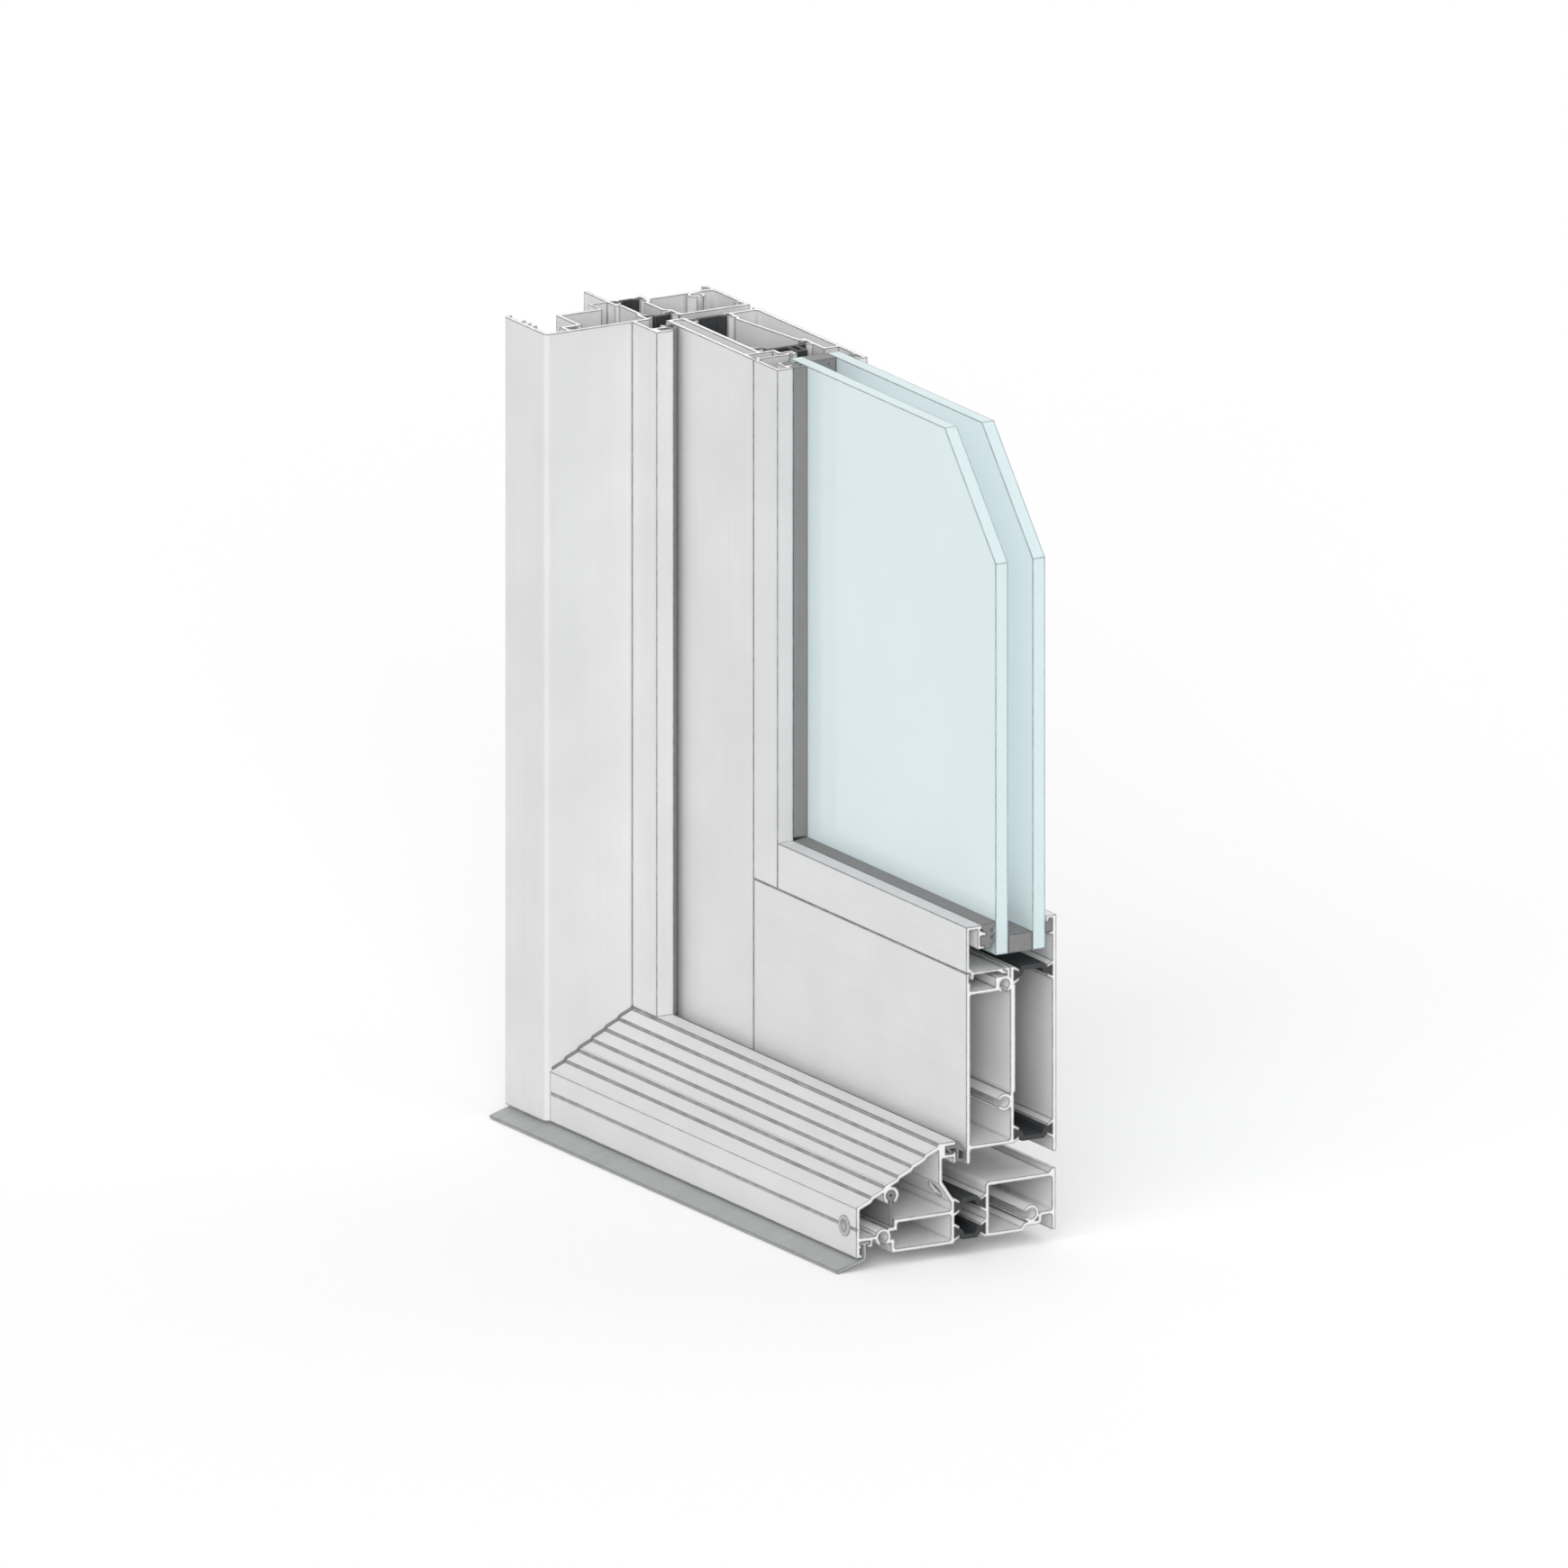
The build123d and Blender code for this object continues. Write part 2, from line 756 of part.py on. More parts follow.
with BuildPart() as sill_outer_profile:
    with BuildSketch(lying(x_reveal, 0)) as sill_section:
        underside = [(y + frame_wall / 2, z - frame_wall) for y, z in reversed(ramp)]
        front_low = ramp_start_height - 2 * frame_wall
        Polygon(
            (sill_front, ramp_start_height - front_chamfer),
            *ramp,
            *underside,
            (sill_front + frame_wall, front_low),
            (sill_front, front_low),
            align=None,
        )
        wall(frame_wall, (front_line, 0), (front_line, ramp_start_height - frame_wall))
        seal_seat(sill_height)
        wall(
            frame_wall,
            (web_line, sill_height - frame_wall / 2),
            (web_line, web_kink_high),
            (sill_seat_line, web_kink_low),
            (sill_seat_line, frame_wall / 2),
            (toe_line, frame_wall / 2),
            (toe_line, port_low),
            (port_side, port_low),
        )
        wall(
            frame_wall,
            (sill_seat_line, foot_height - frame_wall / 2),
            (foot_line, foot_height - frame_wall / 2),
            (foot_line, port_high),
            (port_side, port_high),
        )
        wall(
            frame_wall,
            (front_line, front_web_height),
            (port_depth - port_radius - port_wall / 2, front_web_height),
        )
        screw_port(port_depth, front_port_height, 270)
        hook_line = sill_front + flashing_hook_setback
        lip_end = sill_front + frame_wall + lip_wall / 2
        wall(
            lip_wall,
            (hook_line, front_web_height),
            (hook_line, flashing_hook_height),
            (hook_line - flashing_hook, flashing_hook_height),
        )
        wall(lip_wall, (front_line, flashing_hook_height), (lip_end, flashing_hook_height))
        wall(lip_wall, (front_line, lip_wall / 2), (lip_end + lip_wall / 2, lip_wall / 2))
        neck_line = flap_depth - 0.75 * port_wall
        wall(
            1.5 * port_wall,
            (neck_line, flap_height + port_radius + port_wall / 3),
            (neck_line, ramp_at_flap - 0.75 * frame_wall),
        )
        screw_port(flap_depth, flap_height, 270)
        claws(-sill_break_outer, sill_upper_break_height, 1)
        claws(-sill_break_outer, sill_lower_break_height, 1)
        Polygon(
            (sill_front - front_line_groove / 4, weep_height - 1.25 * front_line_groove),
            (sill_front + front_line_groove, weep_height),
            (sill_front - front_line_groove / 4, weep_height + 1.25 * front_line_groove),
            align=None,
            mode=Mode.SUBTRACT,
        )
        round_corners(
            sill_section,
            chamber_round,
            (toe_line + frame_wall / 2, frame_wall),
            (sill_seat_line - frame_wall / 2, frame_wall),
            (foot_line + frame_wall / 2, foot_height - frame_wall),
            (sill_seat_line - frame_wall / 2, foot_height - frame_wall),
            (sill_seat_line - frame_wall / 2, foot_height),
            (toe_line - frame_wall / 2, 0),
        )
    extrude(amount=sill_length)
    front_plane = Plane(origin=(x_cut - weep_inset, y_inside + sill_front, weep_height), z_dir=(0, 1, 0))
    with BuildSketch(front_plane):
        Circle(weep_bore_radius + weep_ring_wall + break_fit)
    extrude(amount=2 * frame_wall, both=True, mode=Mode.SUBTRACT)
    slope_plane = Plane(
        origin=(
            x_cut - drain_hole_inset,
            y_inside + (web_line + sill_seat_line) / 2,
            (web_kink_high + web_kink_low) / 2,
        ),
        x_dir=(1, 0, 0),
        z_dir=(0, web_kink_high - web_kink_low, sill_seat_line - web_line),
    )
    with BuildSketch(slope_plane):
        Circle(drain_hole_radius)
    extrude(amount=frame_wall, both=True, mode=Mode.SUBTRACT)
sill_outer_profile.part.label = "sill_outer_profile"

with BuildPart() as sill_inner_profile:
    with BuildSketch(lying(x_reveal, 0)) as sill_section:
        seat_line = -sill_break_inner + frame_wall / 2
        roof_line = sill_inner_height - frame_wall / 2
        inside_line = -sill_setback - frame_wall / 2
        raised_floor = inner_floor + inner_foot_rise
        bent_wall(
            frame_wall,
            inner_bend,
            (inside_line - frame_wall, roof_line),
            (seat_line, roof_line),
            (seat_line, inner_floor),
            (-inner_foot_depth, inner_floor),
            (-inner_foot_depth + inner_foot_slant, raised_floor),
            (-inner_recess_depth, raised_floor),
            (-inner_recess_depth, inner_recess_height),
            (inside_line, inner_recess_height),
        )
        wall(frame_wall, (inside_line, 0), (inside_line, sill_inner_height))
        Polygon(
            (-sill_setback, sill_inner_height - frame_wall),
            (-sill_setback, sill_inner_height + sill_upturn),
            (-sill_setback - frame_wall, sill_inner_height + sill_upturn),
            (-sill_setback - frame_wall - sill_upturn, sill_inner_height),
            (-sill_setback - frame_wall - sill_upturn, sill_inner_height - frame_wall),
            align=None,
        )
        screw_port(-inner_port_depth, raised_floor + frame_wall / 2 + port_radius + 0.75 * port_wall, 180)
        claws(-sill_break_inner, sill_upper_break_height, -1)
        claws(-sill_break_inner, sill_lower_break_height, -1)
        round_corners(
            sill_section,
            chamber_round,
            (inside_line - frame_wall / 2, roof_line - frame_wall / 2),
            (inside_line - frame_wall / 2, inner_recess_height + frame_wall / 2),
            (inside_line - frame_wall / 2, inner_recess_height - frame_wall / 2),
        )
    extrude(amount=sill_length)
sill_inner_profile.part.label = "sill_inner_profile"

with BuildPart() as sill_upper_break:
    with BuildSketch(lying(x_reveal, 0)):
        thermal_break(-sill_break_outer, -sill_break_inner, sill_upper_break_height, break_bow)
    extrude(amount=sill_length)
sill_upper_break.part.label = "sill_upper_break"

with BuildPart() as sill_lower_break:
    with BuildSketch(lying(x_reveal, 0)):
        thermal_break(-sill_break_outer, -sill_break_inner, sill_lower_break_height, -break_bow)
    extrude(amount=sill_length)
sill_lower_break.part.label = "sill_lower_break"

with BuildPart() as sill_seal:
    with BuildSketch(lying(x_reveal, 0)):
        closing_seal(sill_height)
    extrude(amount=sill_length)
sill_seal.part.label = "sill_seal"

with BuildPart() as sill_drain_flap:
    with BuildSketch(lying(x_reveal, 0)):
        with Locations((flap_depth, flap_height)):
            Circle(port_radius - gasket_fit)
        wall(flap_wall, (flap_depth, flap_height), (flap_depth, port_high + frame_wall / 2 + flap_clearance))
        with Locations((flap_depth, flap_height)):
            Circle(port_radius / 4, mode=Mode.SUBTRACT)
    extrude(amount=sill_length)
sill_drain_flap.part.label = "sill_drain_flap"

with BuildPart() as weep_ring:
    with BuildSketch(front_plane):
        Circle(weep_ring_radius)
        Circle(weep_bore_radius, mode=Mode.SUBTRACT)
    extrude(amount=-weep_ring_wall)
    with BuildSketch(front_plane):
        Circle(weep_bore_radius + weep_ring_wall)
        Circle(weep_bore_radius, mode=Mode.SUBTRACT)
    extrude(amount=frame_wall + weep_ring_wall)
weep_ring.part.label = "weep_ring"

with BuildPart() as drip_flashing:
    stem = sill_front + flashing_stem
    with BuildSketch(lying(x_reveal - flashing_overrun, 0)):
        bent_wall(
            flashing_wall,
            flashing_bend,
            (stem, front_web_height - frame_wall / 2 - flashing_fit),
            (stem, -flashing_fit - flashing_bend / 2),
            (sill_front - flashing_reach, -flashing_drop + flashing_wall / 2),
        )
        wall(
            flashing_head_wall,
            (stem - flashing_head / 2, flashing_head_height),
            (stem + flashing_head / 2, flashing_head_height),
        )
    extrude(amount=sill_length + flashing_overrun)
    with Locations((x_reveal - flashing_overrun, y_inside + sill_front, -flashing_fit)):
        Box(
            flashing_overrun + joint_gap,
            frame_depth,
            frame_depth,
            align=(Align.MIN, Align.CENTER, Align.MIN),
            mode=Mode.SUBTRACT,
        )
drip_flashing.part.label = "drip_flashing"

# Jamb
reveal_line = -frame_wall / 2
flange_line = sill_front - flange_projection + frame_wall / 2
jamb_seat = -jamb_break_outer - frame_wall / 2
chamber_line = sill_front + chamber_setback + frame_wall / 2
chamber_side = -chamber_width + frame_wall / 2
foot_side = -reveal_foot_width + frame_wall / 2
foot_end = sill_front + reveal_foot_setback + frame_wall / 2
leg_line = jamb_seat - back_leg_reach
leg_side = -back_leg_width + lip_wall / 2
wall_bend = -jamb_wall_break_inset + claw_reach
leaf_bend = -jamb_leaf_break_inset - claw_reach

with BuildPart() as jamb_outer_profile:
    with BuildSketch(standing(x_reveal, sample_height)) as jamb_section:
        bent_wall(
            frame_wall,
            flange_bend,
            (flange_line + flange_return, -flange_width + frame_wall / 2),
            (flange_line, -flange_width + frame_wall / 2),
            (flange_line, reveal_line),
            (jamb_seat, reveal_line),
        )
        for nub in range(3):
            inset = nub_start + nub * nub_pitch
            Polygon(
                (flange_line, -inset - nub_width / 2),
                (flange_line + nub_reach, -inset - nub_width / 8),
                (flange_line + nub_reach, -inset + nub_width / 5),
                (flange_line, -inset + nub_width / 2),
                align=None,
            )
        with Locations((flange_line + 4 * corner_rib, -frame_wall - corner_rib / 3)):
            Circle(corner_rib)
        wall(frame_wall, (stop_face + frame_wall / 2, reveal_line), (stop_face + frame_wall / 2, stop_width))
        seal_seat(stop_width)
        wall(
            frame_wall,
            (leg_line, chamber_side),
            (chamber_line, chamber_side),
            (chamber_line, foot_side),
            (foot_end, foot_side),
            (foot_end, reveal_line),
        )
        for tooth in range(4):
            start = foot_end + frame_wall / 2 + tooth * foot_tooth
            Polygon(
                (start, foot_side),
                (start, foot_side + frame_wall / 2),
                (start + foot_tooth / 2, foot_side + frame_wall / 2 + 0.8 * foot_tooth),
                (start + foot_tooth, foot_side + frame_wall / 2),
                (start + foot_tooth, foot_side),
                align=None,
            )
        wall(
            frame_wall,
            (jamb_seat, -fin_width),
            (jamb_seat, wall_bend),
            (jamb_seat + outer_jog, wall_bend + outer_jog),
            (jamb_seat + outer_jog, leaf_bend - outer_jog),
            (jamb_seat, leaf_bend),
            (jamb_seat, 0),
        )
        wall(lip_wall, (leg_line, chamber_side), (leg_line, leg_side), (jamb_seat, leg_side))
        claws(-jamb_break_outer, -jamb_wall_break_inset, 1)
        claws(-jamb_break_outer, -jamb_leaf_break_inset, 1)
        round_corners(
            jamb_section,
            chamber_round,
            (chamber_line + frame_wall / 2, chamber_side + frame_wall / 2),
            (foot_end + frame_wall / 2, reveal_line - frame_wall / 2),
            (stop_face + frame_wall, reveal_line + frame_wall / 2),
        )
    extrude(amount=sample_height)
    with Locations((x_reveal, y_inside, 0)):
        Box(
            sill_length,
            2 * frame_depth,
            sill_height,
            align=(Align.MIN, Align.CENTER, Align.MIN),
            mode=Mode.SUBTRACT,
        )
jamb_outer_profile.part.label = "jamb_outer_profile"

with BuildPart() as jamb_inner_profile:
    with BuildSketch(standing(x_reveal, sample_height)) as jamb_section:
        seat_line = -jamb_break_inner + frame_wall / 2
        inner_side = -inner_chamber_width + frame_wall / 2
        flange_side = -flange_width + frame_wall / 2
        wall(
            frame_wall,
            (seat_line, -flange_width),
            (seat_line, wall_bend),
            (seat_line - inner_jog, wall_bend + inner_jog),
            (seat_line - inner_jog, leaf_bend - inner_jog),
            (seat_line, leaf_bend),
            (seat_line, reveal_line),
            (-frame_wall / 2, reveal_line),
        )
        wall(
            frame_wall,
            (-frame_wall / 2, 0),
            (-frame_wall / 2, flange_side),
            (-frame_wall / 2 - flange_return, flange_side),
        )
        wall(frame_wall, (seat_line, inner_side), (-frame_wall / 2, inner_side))
        screw_port(-jamb_port_depth, inner_side + frame_wall / 2 + port_radius + 0.75 * port_wall, 90)
        wall(lip_wall, (-frame_wall / 2, -jamb_rib_inset), (-jamb_rib_reach, -jamb_rib_inset))
        claws(-jamb_break_inner, -jamb_wall_break_inset, -1)
        claws(-jamb_break_inner, -jamb_leaf_break_inset, -1)
        round_corners(
            jamb_section,
            chamber_round,
            (-frame_wall, inner_side + frame_wall / 2),
            (-frame_wall, reveal_line - frame_wall / 2),
            (seat_line + frame_wall / 2, reveal_line - frame_wall / 2),
        )
    extrude(amount=sample_height)
jamb_inner_profile.part.label = "jamb_inner_profile"

with BuildPart() as jamb_wall_break:
    with BuildSketch(standing(x_reveal, sample_height)):
        thermal_break(-jamb_break_outer, -jamb_break_inner, -jamb_wall_break_inset, -break_bow / 2)
    extrude(amount=sample_height)
jamb_wall_break.part.label = "jamb_wall_break"

with BuildPart() as jamb_leaf_break:
    with BuildSketch(standing(x_reveal, sample_height)):
        thermal_break(-jamb_break_outer, -jamb_break_inner, -jamb_leaf_break_inset, break_bow / 2)
    extrude(amount=sample_height)
jamb_leaf_break.part.label = "jamb_leaf_break"

with BuildPart() as jamb_seal:
    with BuildSketch(standing(x_reveal, sample_height)):
        closing_seal(stop_width)
    extrude(amount=sample_height - sill_height)
jamb_seal.part.label = "jamb_seal"

# Butt hinge on the inside face, its axis over the middle of the gap
x_hinge = x_reveal + leaf_gap / 2
y_hinge = y_inside + knuckle_radius + hinge_lift
hinge_low = hinge_centre - hinge_height / 2
knuckle_height = (hinge_height - 2 * knuckle_gap) / 3
plate_start = knuckle_radius + hinge_lift


def hinge_half(side, low, height):
    """Plate height of one hinge half beside the knuckles; side is its way along X."""
    with BuildSketch(Plane.XY.offset(low)) as plate:
        with Locations((x_hinge + side * (plate_start + hinge_plate_width / 2), y_inside)):
            Rectangle(hinge_plate_width, hinge_plate, align=(Align.CENTER, Align.MIN))
    extrude(plate.sketch, amount=height)


def screw_holes(side):
    """Three countersunk screw holes through the plate of one hinge half."""
    middle = x_hinge + side * (plate_start + hinge_plate_width / 2)
    plate_face = Plane(
        origin=(middle, y_inside + hinge_plate, hinge_centre), x_dir=(1, 0, 0), z_dir=(0, 1, 0)
    )
    with Locations(plate_face):
        with GridLocations(hinge_plate_width, hinge_screw_pitch, 1, 3):
            CounterSinkHole(hinge_screw_radius, hinge_sink_radius)


def knuckle(side, low):
    """One knuckle with the tab that joins it to its plate."""
    with BuildSketch(Plane.XY.offset(low)) as barrel:
        with Locations((x_hinge + side * (plate_start + hinge_lift) / 2, y_inside)):
            Rectangle(plate_start + hinge_lift, hinge_plate, align=(Align.CENTER, Align.MIN))
        with Locations((x_hinge, y_hinge)):
            Circle(knuckle_radius)
            Circle(hinge_pin_radius + pin_fit, mode=Mode.SUBTRACT)
    extrude(barrel.sketch, amount=knuckle_height)


with BuildPart() as hinge_frame_plate:
    hinge_half(-1, hinge_low, hinge_height)
    knuckle(-1, hinge_low)
    knuckle(-1, hinge_low + 2 * (knuckle_height + knuckle_gap))
    screw_holes(-1)
hinge_frame_plate.part.label = "hinge_frame_plate"

with BuildPart() as hinge_leaf_plate:
    hinge_half(1, hinge_low, hinge_height)
    knuckle(1, hinge_low + knuckle_height + knuckle_gap)
    screw_holes(1)
hinge_leaf_plate.part.label = "hinge_leaf_plate"

with BuildPart() as hinge_pin:
    with BuildSketch(Plane(origin=(x_hinge, y_hinge, hinge_low), x_dir=(1, 0, 0), z_dir=(0, -1, 0))):
        with BuildLine():
            Polyline(
                (0, -pin_cap),
                (knuckle_radius - pin_cap / 2, -pin_cap),
                (knuckle_radius, -pin_cap / 2),
                (knuckle_radius, 0),
                (hinge_pin_radius, 0),
                (hinge_pin_radius, hinge_height),
                (knuckle_radius, hinge_height),
                (knuckle_radius, hinge_height + pin_cap / 2),
                (knuckle_radius - pin_cap / 2, hinge_height + pin_cap),
                (0, hinge_height + pin_cap),
                close=True,
            )
        make_face()
    revolve(axis=Axis((x_hinge, y_hinge, hinge_low), (0, 0, 1)))
hinge_pin.part.label = "hinge_pin"

os.makedirs("parts", exist_ok=True)
for piece in (
    rail_outer_profile,
    rail_inner_profile,
    rail_upper_break,
    rail_lower_break,
    rail_bead,
    rail_wedge_gasket,
    rail_inside_gasket,
    stile_outer_profile,
    stile_inner_profile,
    stile_edge_break,
    stile_glass_break,
    stile_bead,
    stile_wedge_gasket,
    stile_inside_gasket,
    outer_pane,
    inner_pane,
    stile_spacer,
    rail_spacer,
    setting_block,
    sill_outer_profile,
    sill_inner_profile,
    sill_upper_break,
    sill_lower_break,
    sill_seal,
    sill_drain_flap,
    weep_ring,
    drip_flashing,
    jamb_outer_profile,
    jamb_inner_profile,
    jamb_wall_break,
    jamb_leaf_break,
    jamb_seal,
    hinge_frame_plate,
    hinge_leaf_plate,
    hinge_pin,
):
    export_step(piece.part, f"parts/{piece.part.label}.step")
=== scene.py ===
# %% [markdown]
# # A cut corner of a hinged patio door
# The object is the lower corner of an aluminium patio door, sawn off so that its sections show: a jamb, a
# stepped sill and the corner of a glazed leaf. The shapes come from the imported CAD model, which is loaded as
# a fixed frame. This lesson gives every part its finish, adds the small pieces that the CAD leaves to us, and
# puts the whole in a plain white studio. All lengths are in metres.

# %% Load the frame
import json
import math

import bpy
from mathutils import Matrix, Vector


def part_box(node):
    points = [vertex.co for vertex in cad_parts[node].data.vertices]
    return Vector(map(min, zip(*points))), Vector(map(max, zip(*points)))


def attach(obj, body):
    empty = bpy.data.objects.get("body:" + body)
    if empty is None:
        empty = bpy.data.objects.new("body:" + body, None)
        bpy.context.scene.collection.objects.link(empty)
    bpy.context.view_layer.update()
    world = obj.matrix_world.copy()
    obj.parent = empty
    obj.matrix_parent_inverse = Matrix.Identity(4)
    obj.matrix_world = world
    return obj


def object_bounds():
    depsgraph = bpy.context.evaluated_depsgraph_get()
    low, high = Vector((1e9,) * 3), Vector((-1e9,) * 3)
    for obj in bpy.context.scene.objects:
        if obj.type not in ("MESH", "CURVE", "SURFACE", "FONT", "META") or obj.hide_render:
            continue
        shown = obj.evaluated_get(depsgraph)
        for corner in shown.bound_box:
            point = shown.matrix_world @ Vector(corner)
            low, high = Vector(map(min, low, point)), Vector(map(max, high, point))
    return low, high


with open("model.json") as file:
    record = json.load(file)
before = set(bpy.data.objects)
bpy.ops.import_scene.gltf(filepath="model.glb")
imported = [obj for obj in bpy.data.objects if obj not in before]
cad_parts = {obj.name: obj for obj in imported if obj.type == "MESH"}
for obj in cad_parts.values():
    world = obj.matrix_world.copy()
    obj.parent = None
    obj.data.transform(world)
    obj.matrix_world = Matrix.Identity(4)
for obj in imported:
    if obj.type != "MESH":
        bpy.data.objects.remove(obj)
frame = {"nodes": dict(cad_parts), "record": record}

cad_low, cad_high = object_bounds()
millimetre = 0.001
print("box from", [round(v, 4) for v in cad_low], "to", [round(v, 4) for v in cad_high])

# %% [markdown]
# ## The camera
# The drawing has no perspective: lines that are parallel on the door stay parallel on the paper. An
# orthographic camera does the same. It stands 60 degrees round from the front and 15 degrees up, and one
# millimetre of the door takes 2.64 of the 1740 pixels across the picture, which sets its scale.

# %% Place the camera
scene = bpy.context.scene
picture_pixels, pixels_per_millimetre = 1740, 2.64
turn, lift = math.radians(60), math.radians(15)
toward_camera = Vector(
    (math.sin(turn) * math.cos(lift), -math.cos(turn) * math.cos(lift), math.sin(lift))
)
picture_middle = Vector((-0.02125, 0.01925, 0.1648))
camera_distance, sight_length = 2, 50
lens = bpy.data.cameras.new("drawing_camera")
lens.type = "ORTHO"
lens.ortho_scale = picture_pixels / pixels_per_millimetre * millimetre
lens.clip_end = sight_length
camera = bpy.data.objects.new("drawing_camera", lens)
camera.location = picture_middle + camera_distance * toward_camera
camera.rotation_euler = (-toward_camera).to_track_quat("-Z", "Y").to_euler()
scene.collection.objects.link(camera)
scene.camera = camera
print("camera sees", round(lens.ortho_scale, 4), "m across")

# %% [markdown]
# ## Tools for finishes
# A finish is a small network of shader nodes. Wiring it by hand in the editor is a chain of the same few
# moves: add a node, set or connect its inputs, do a sum, blend two colours. The helpers below are those
# moves, so that each finish further on reads as a recipe. Patterns read Object coordinates: every part keeps
# its place in its own mesh, so these are places on the door itself, and a pattern stays put when the leaf
# swings.


# %% Node helpers
def feed(tree, socket, value):
    """Set an input to a number or colour, or connect it to another node's output."""
    if isinstance(value, bpy.types.NodeSocket):
        tree.links.new(value, socket)
    else:
        socket.default_value = value


def node(tree, kind, settings=None, **inputs):
    """One shader node with its settings and inputs; an underscore in an input's name is a space."""
    made = tree.nodes.new("ShaderNode" + kind)
    for name, value in (settings or {}).items():
        setattr(made, name, value)
    for name, value in inputs.items():
        feed(tree, made.inputs[name.replace("_", " ")], value)
    return made


def sum_of(tree, operation, *values):
    """Result of one Math node."""
    made = node(tree, "Math", {"operation": operation})
    for socket, value in zip(made.inputs, values):
        feed(tree, socket, value)
    return made.outputs[0]


def spread(tree, value, low, high, to_low=0.0, to_high=1.0):
    """Value stretched from low..high to to_low..to_high and held at those ends."""
    made = node(tree, "MapRange", Value=value, From_Min=low, From_Max=high, To_Min=to_low, To_Max=to_high)
    return made.outputs["Result"]


def between(tree, share, first, second):
    """Number between two numbers: the first at a share of 0, the second at 1."""
    return spread(tree, share, 0.0, 1.0, first, second)


print("number helpers ready")


# %% Colour helpers
def grey(level, tint=(1, 1, 1)):
    """Colour of this level, with a faint tint."""
    return (level * tint[0], level * tint[1], level * tint[2], 1)


def blend(tree, share, first, second):
    """Colour between two colours: the first at a share of 0, the second at 1."""
    made = node(tree, "Mix", {"data_type": "RGBA"})
    # The node's sockets for numbers and vectors come before those for colours
    share_socket, first_colour, second_colour, mixed_colour = 0, 6, 7, 2
    feed(tree, made.inputs[share_socket], share)
    feed(tree, made.inputs[first_colour], first)
    feed(tree, made.inputs[second_colour], second)
    return made.outputs[mixed_colour]


def layer(tree, mask, share, base, colour):
    """The base with a colour laid over it where the mask says, by this share at most."""
    return blend(tree, sum_of(tree, "MULTIPLY", mask, share), base, colour)


def own_facing(tree):
    """The way a face looks in the part's own axes, split in X, Y and Z, so that it swings with the leaf."""
    normal = node(tree, "TexCoord").outputs["Normal"]
    return node(tree, "SeparateXYZ", Vector=normal).outputs


def new_finish(name):
    """A material with its tree, its Principled shader and the Object coordinates."""
    material = bpy.data.materials.new(name)
    material.use_nodes = True
    tree = material.node_tree
    place = node(tree, "TexCoord").outputs["Object"]
    return material, tree, tree.nodes["Principled BSDF"], place


print("colour helpers ready")

# %% [markdown]
# ## The studio
# A drawing on white paper has even light from everywhere, so most of the light here comes from a white sky.
# One broad lamp high on the left makes the faces differ a little and lays a soft shadow on the floor. A lamp
# near the camera shines into the open ends of the sections, and a very broad one behind keeps the inside of
# the door from going dull. Light and colours are set so that a surface renders about as bright as its colour
# says. The sky and the floor show white to the camera, to mirrors and through glass, and only lend a lower
# level of light to the object.

# %% Sky
scene.view_settings.view_transform = "Standard"
sky = bpy.data.worlds.new("studio_sky")
scene.world = sky
sky.use_nodes = True
sky_tree = sky.node_tree
sky_light, sky_white = 0.54, 1.0
sky_shader = sky_tree.nodes["Background"]
sky_shader.inputs["Color"].default_value = (1, 1, 1, 1)


def seen_directly(tree):
    """1 for rays from the camera, from mirrors and through glass, 0 for rays that carry soft light."""
    path = node(tree, "LightPath").outputs
    mirrored = sum_of(tree, "MAXIMUM", path["Is Glossy Ray"], path["Is Transmission Ray"])
    return sum_of(tree, "MAXIMUM", path["Is Camera Ray"], mirrored)


sky_level = between(sky_tree, seen_directly(sky_tree), sky_light, sky_white)
feed(sky_tree, sky_shader.inputs["Strength"], sky_level)
print("sky gives", sky_light)


# %% Lamps
def hang_lamp(name, strength, spread_degrees, comes_from):
    """A distant lamp with soft edges, shining from the direction given."""
    light = bpy.data.lights.new(name, "SUN")
    light.energy = strength
    light.angle = math.radians(spread_degrees)
    lamp = bpy.data.objects.new(name, light)
    lamp.rotation_euler = Vector(comes_from).to_track_quat("Z", "Y").to_euler()
    scene.collection.objects.link(lamp)
    return lamp


broad_lamp = hang_lamp("broad_lamp", strength=0.85, spread_degrees=50, comes_from=(0.42, -0.62, 0.66))
near_lamp = hang_lamp("near_lamp", strength=0.92, spread_degrees=30, comes_from=(0.83, -0.49, 0.28))
back_lamp = hang_lamp("back_lamp", strength=0.9, spread_degrees=90, comes_from=(-0.5, 0.75, 0.3))
print("lamps", broad_lamp.name, near_lamp.name, back_lamp.name)

# %% Floor
floor_size, floor_drop = 24, 0.2 * millimetre
floor_level = cad_low[2] - floor_drop
floor_grey, floor_white, floor_glow = 0.86, 1.0, 0.10
bpy.ops.object.select_all(action="DESELECT")
bpy.ops.mesh.primitive_plane_add(size=floor_size, location=(0, 0, floor_level))
floor = bpy.context.object
floor.name = "studio_floor"
bpy.ops.object.transform_apply(location=True, rotation=True, scale=True)
floor_paint, tree, shader, place = new_finish("floor_paint")
direct = seen_directly(tree)
feed(tree, shader.inputs["Base Color"], between(tree, direct, floor_grey, floor_white))
shader.inputs["Roughness"].default_value = 0.9
shader.inputs["Specular IOR Level"].default_value = 0.0
shader.inputs["Emission Color"].default_value = (1, 1, 1, 1)
feed(tree, shader.inputs["Emission Strength"], between(tree, direct, 0.0, floor_glow))
floor.data.materials.append(floor_paint)
print("floor at", round(floor_level, 4))

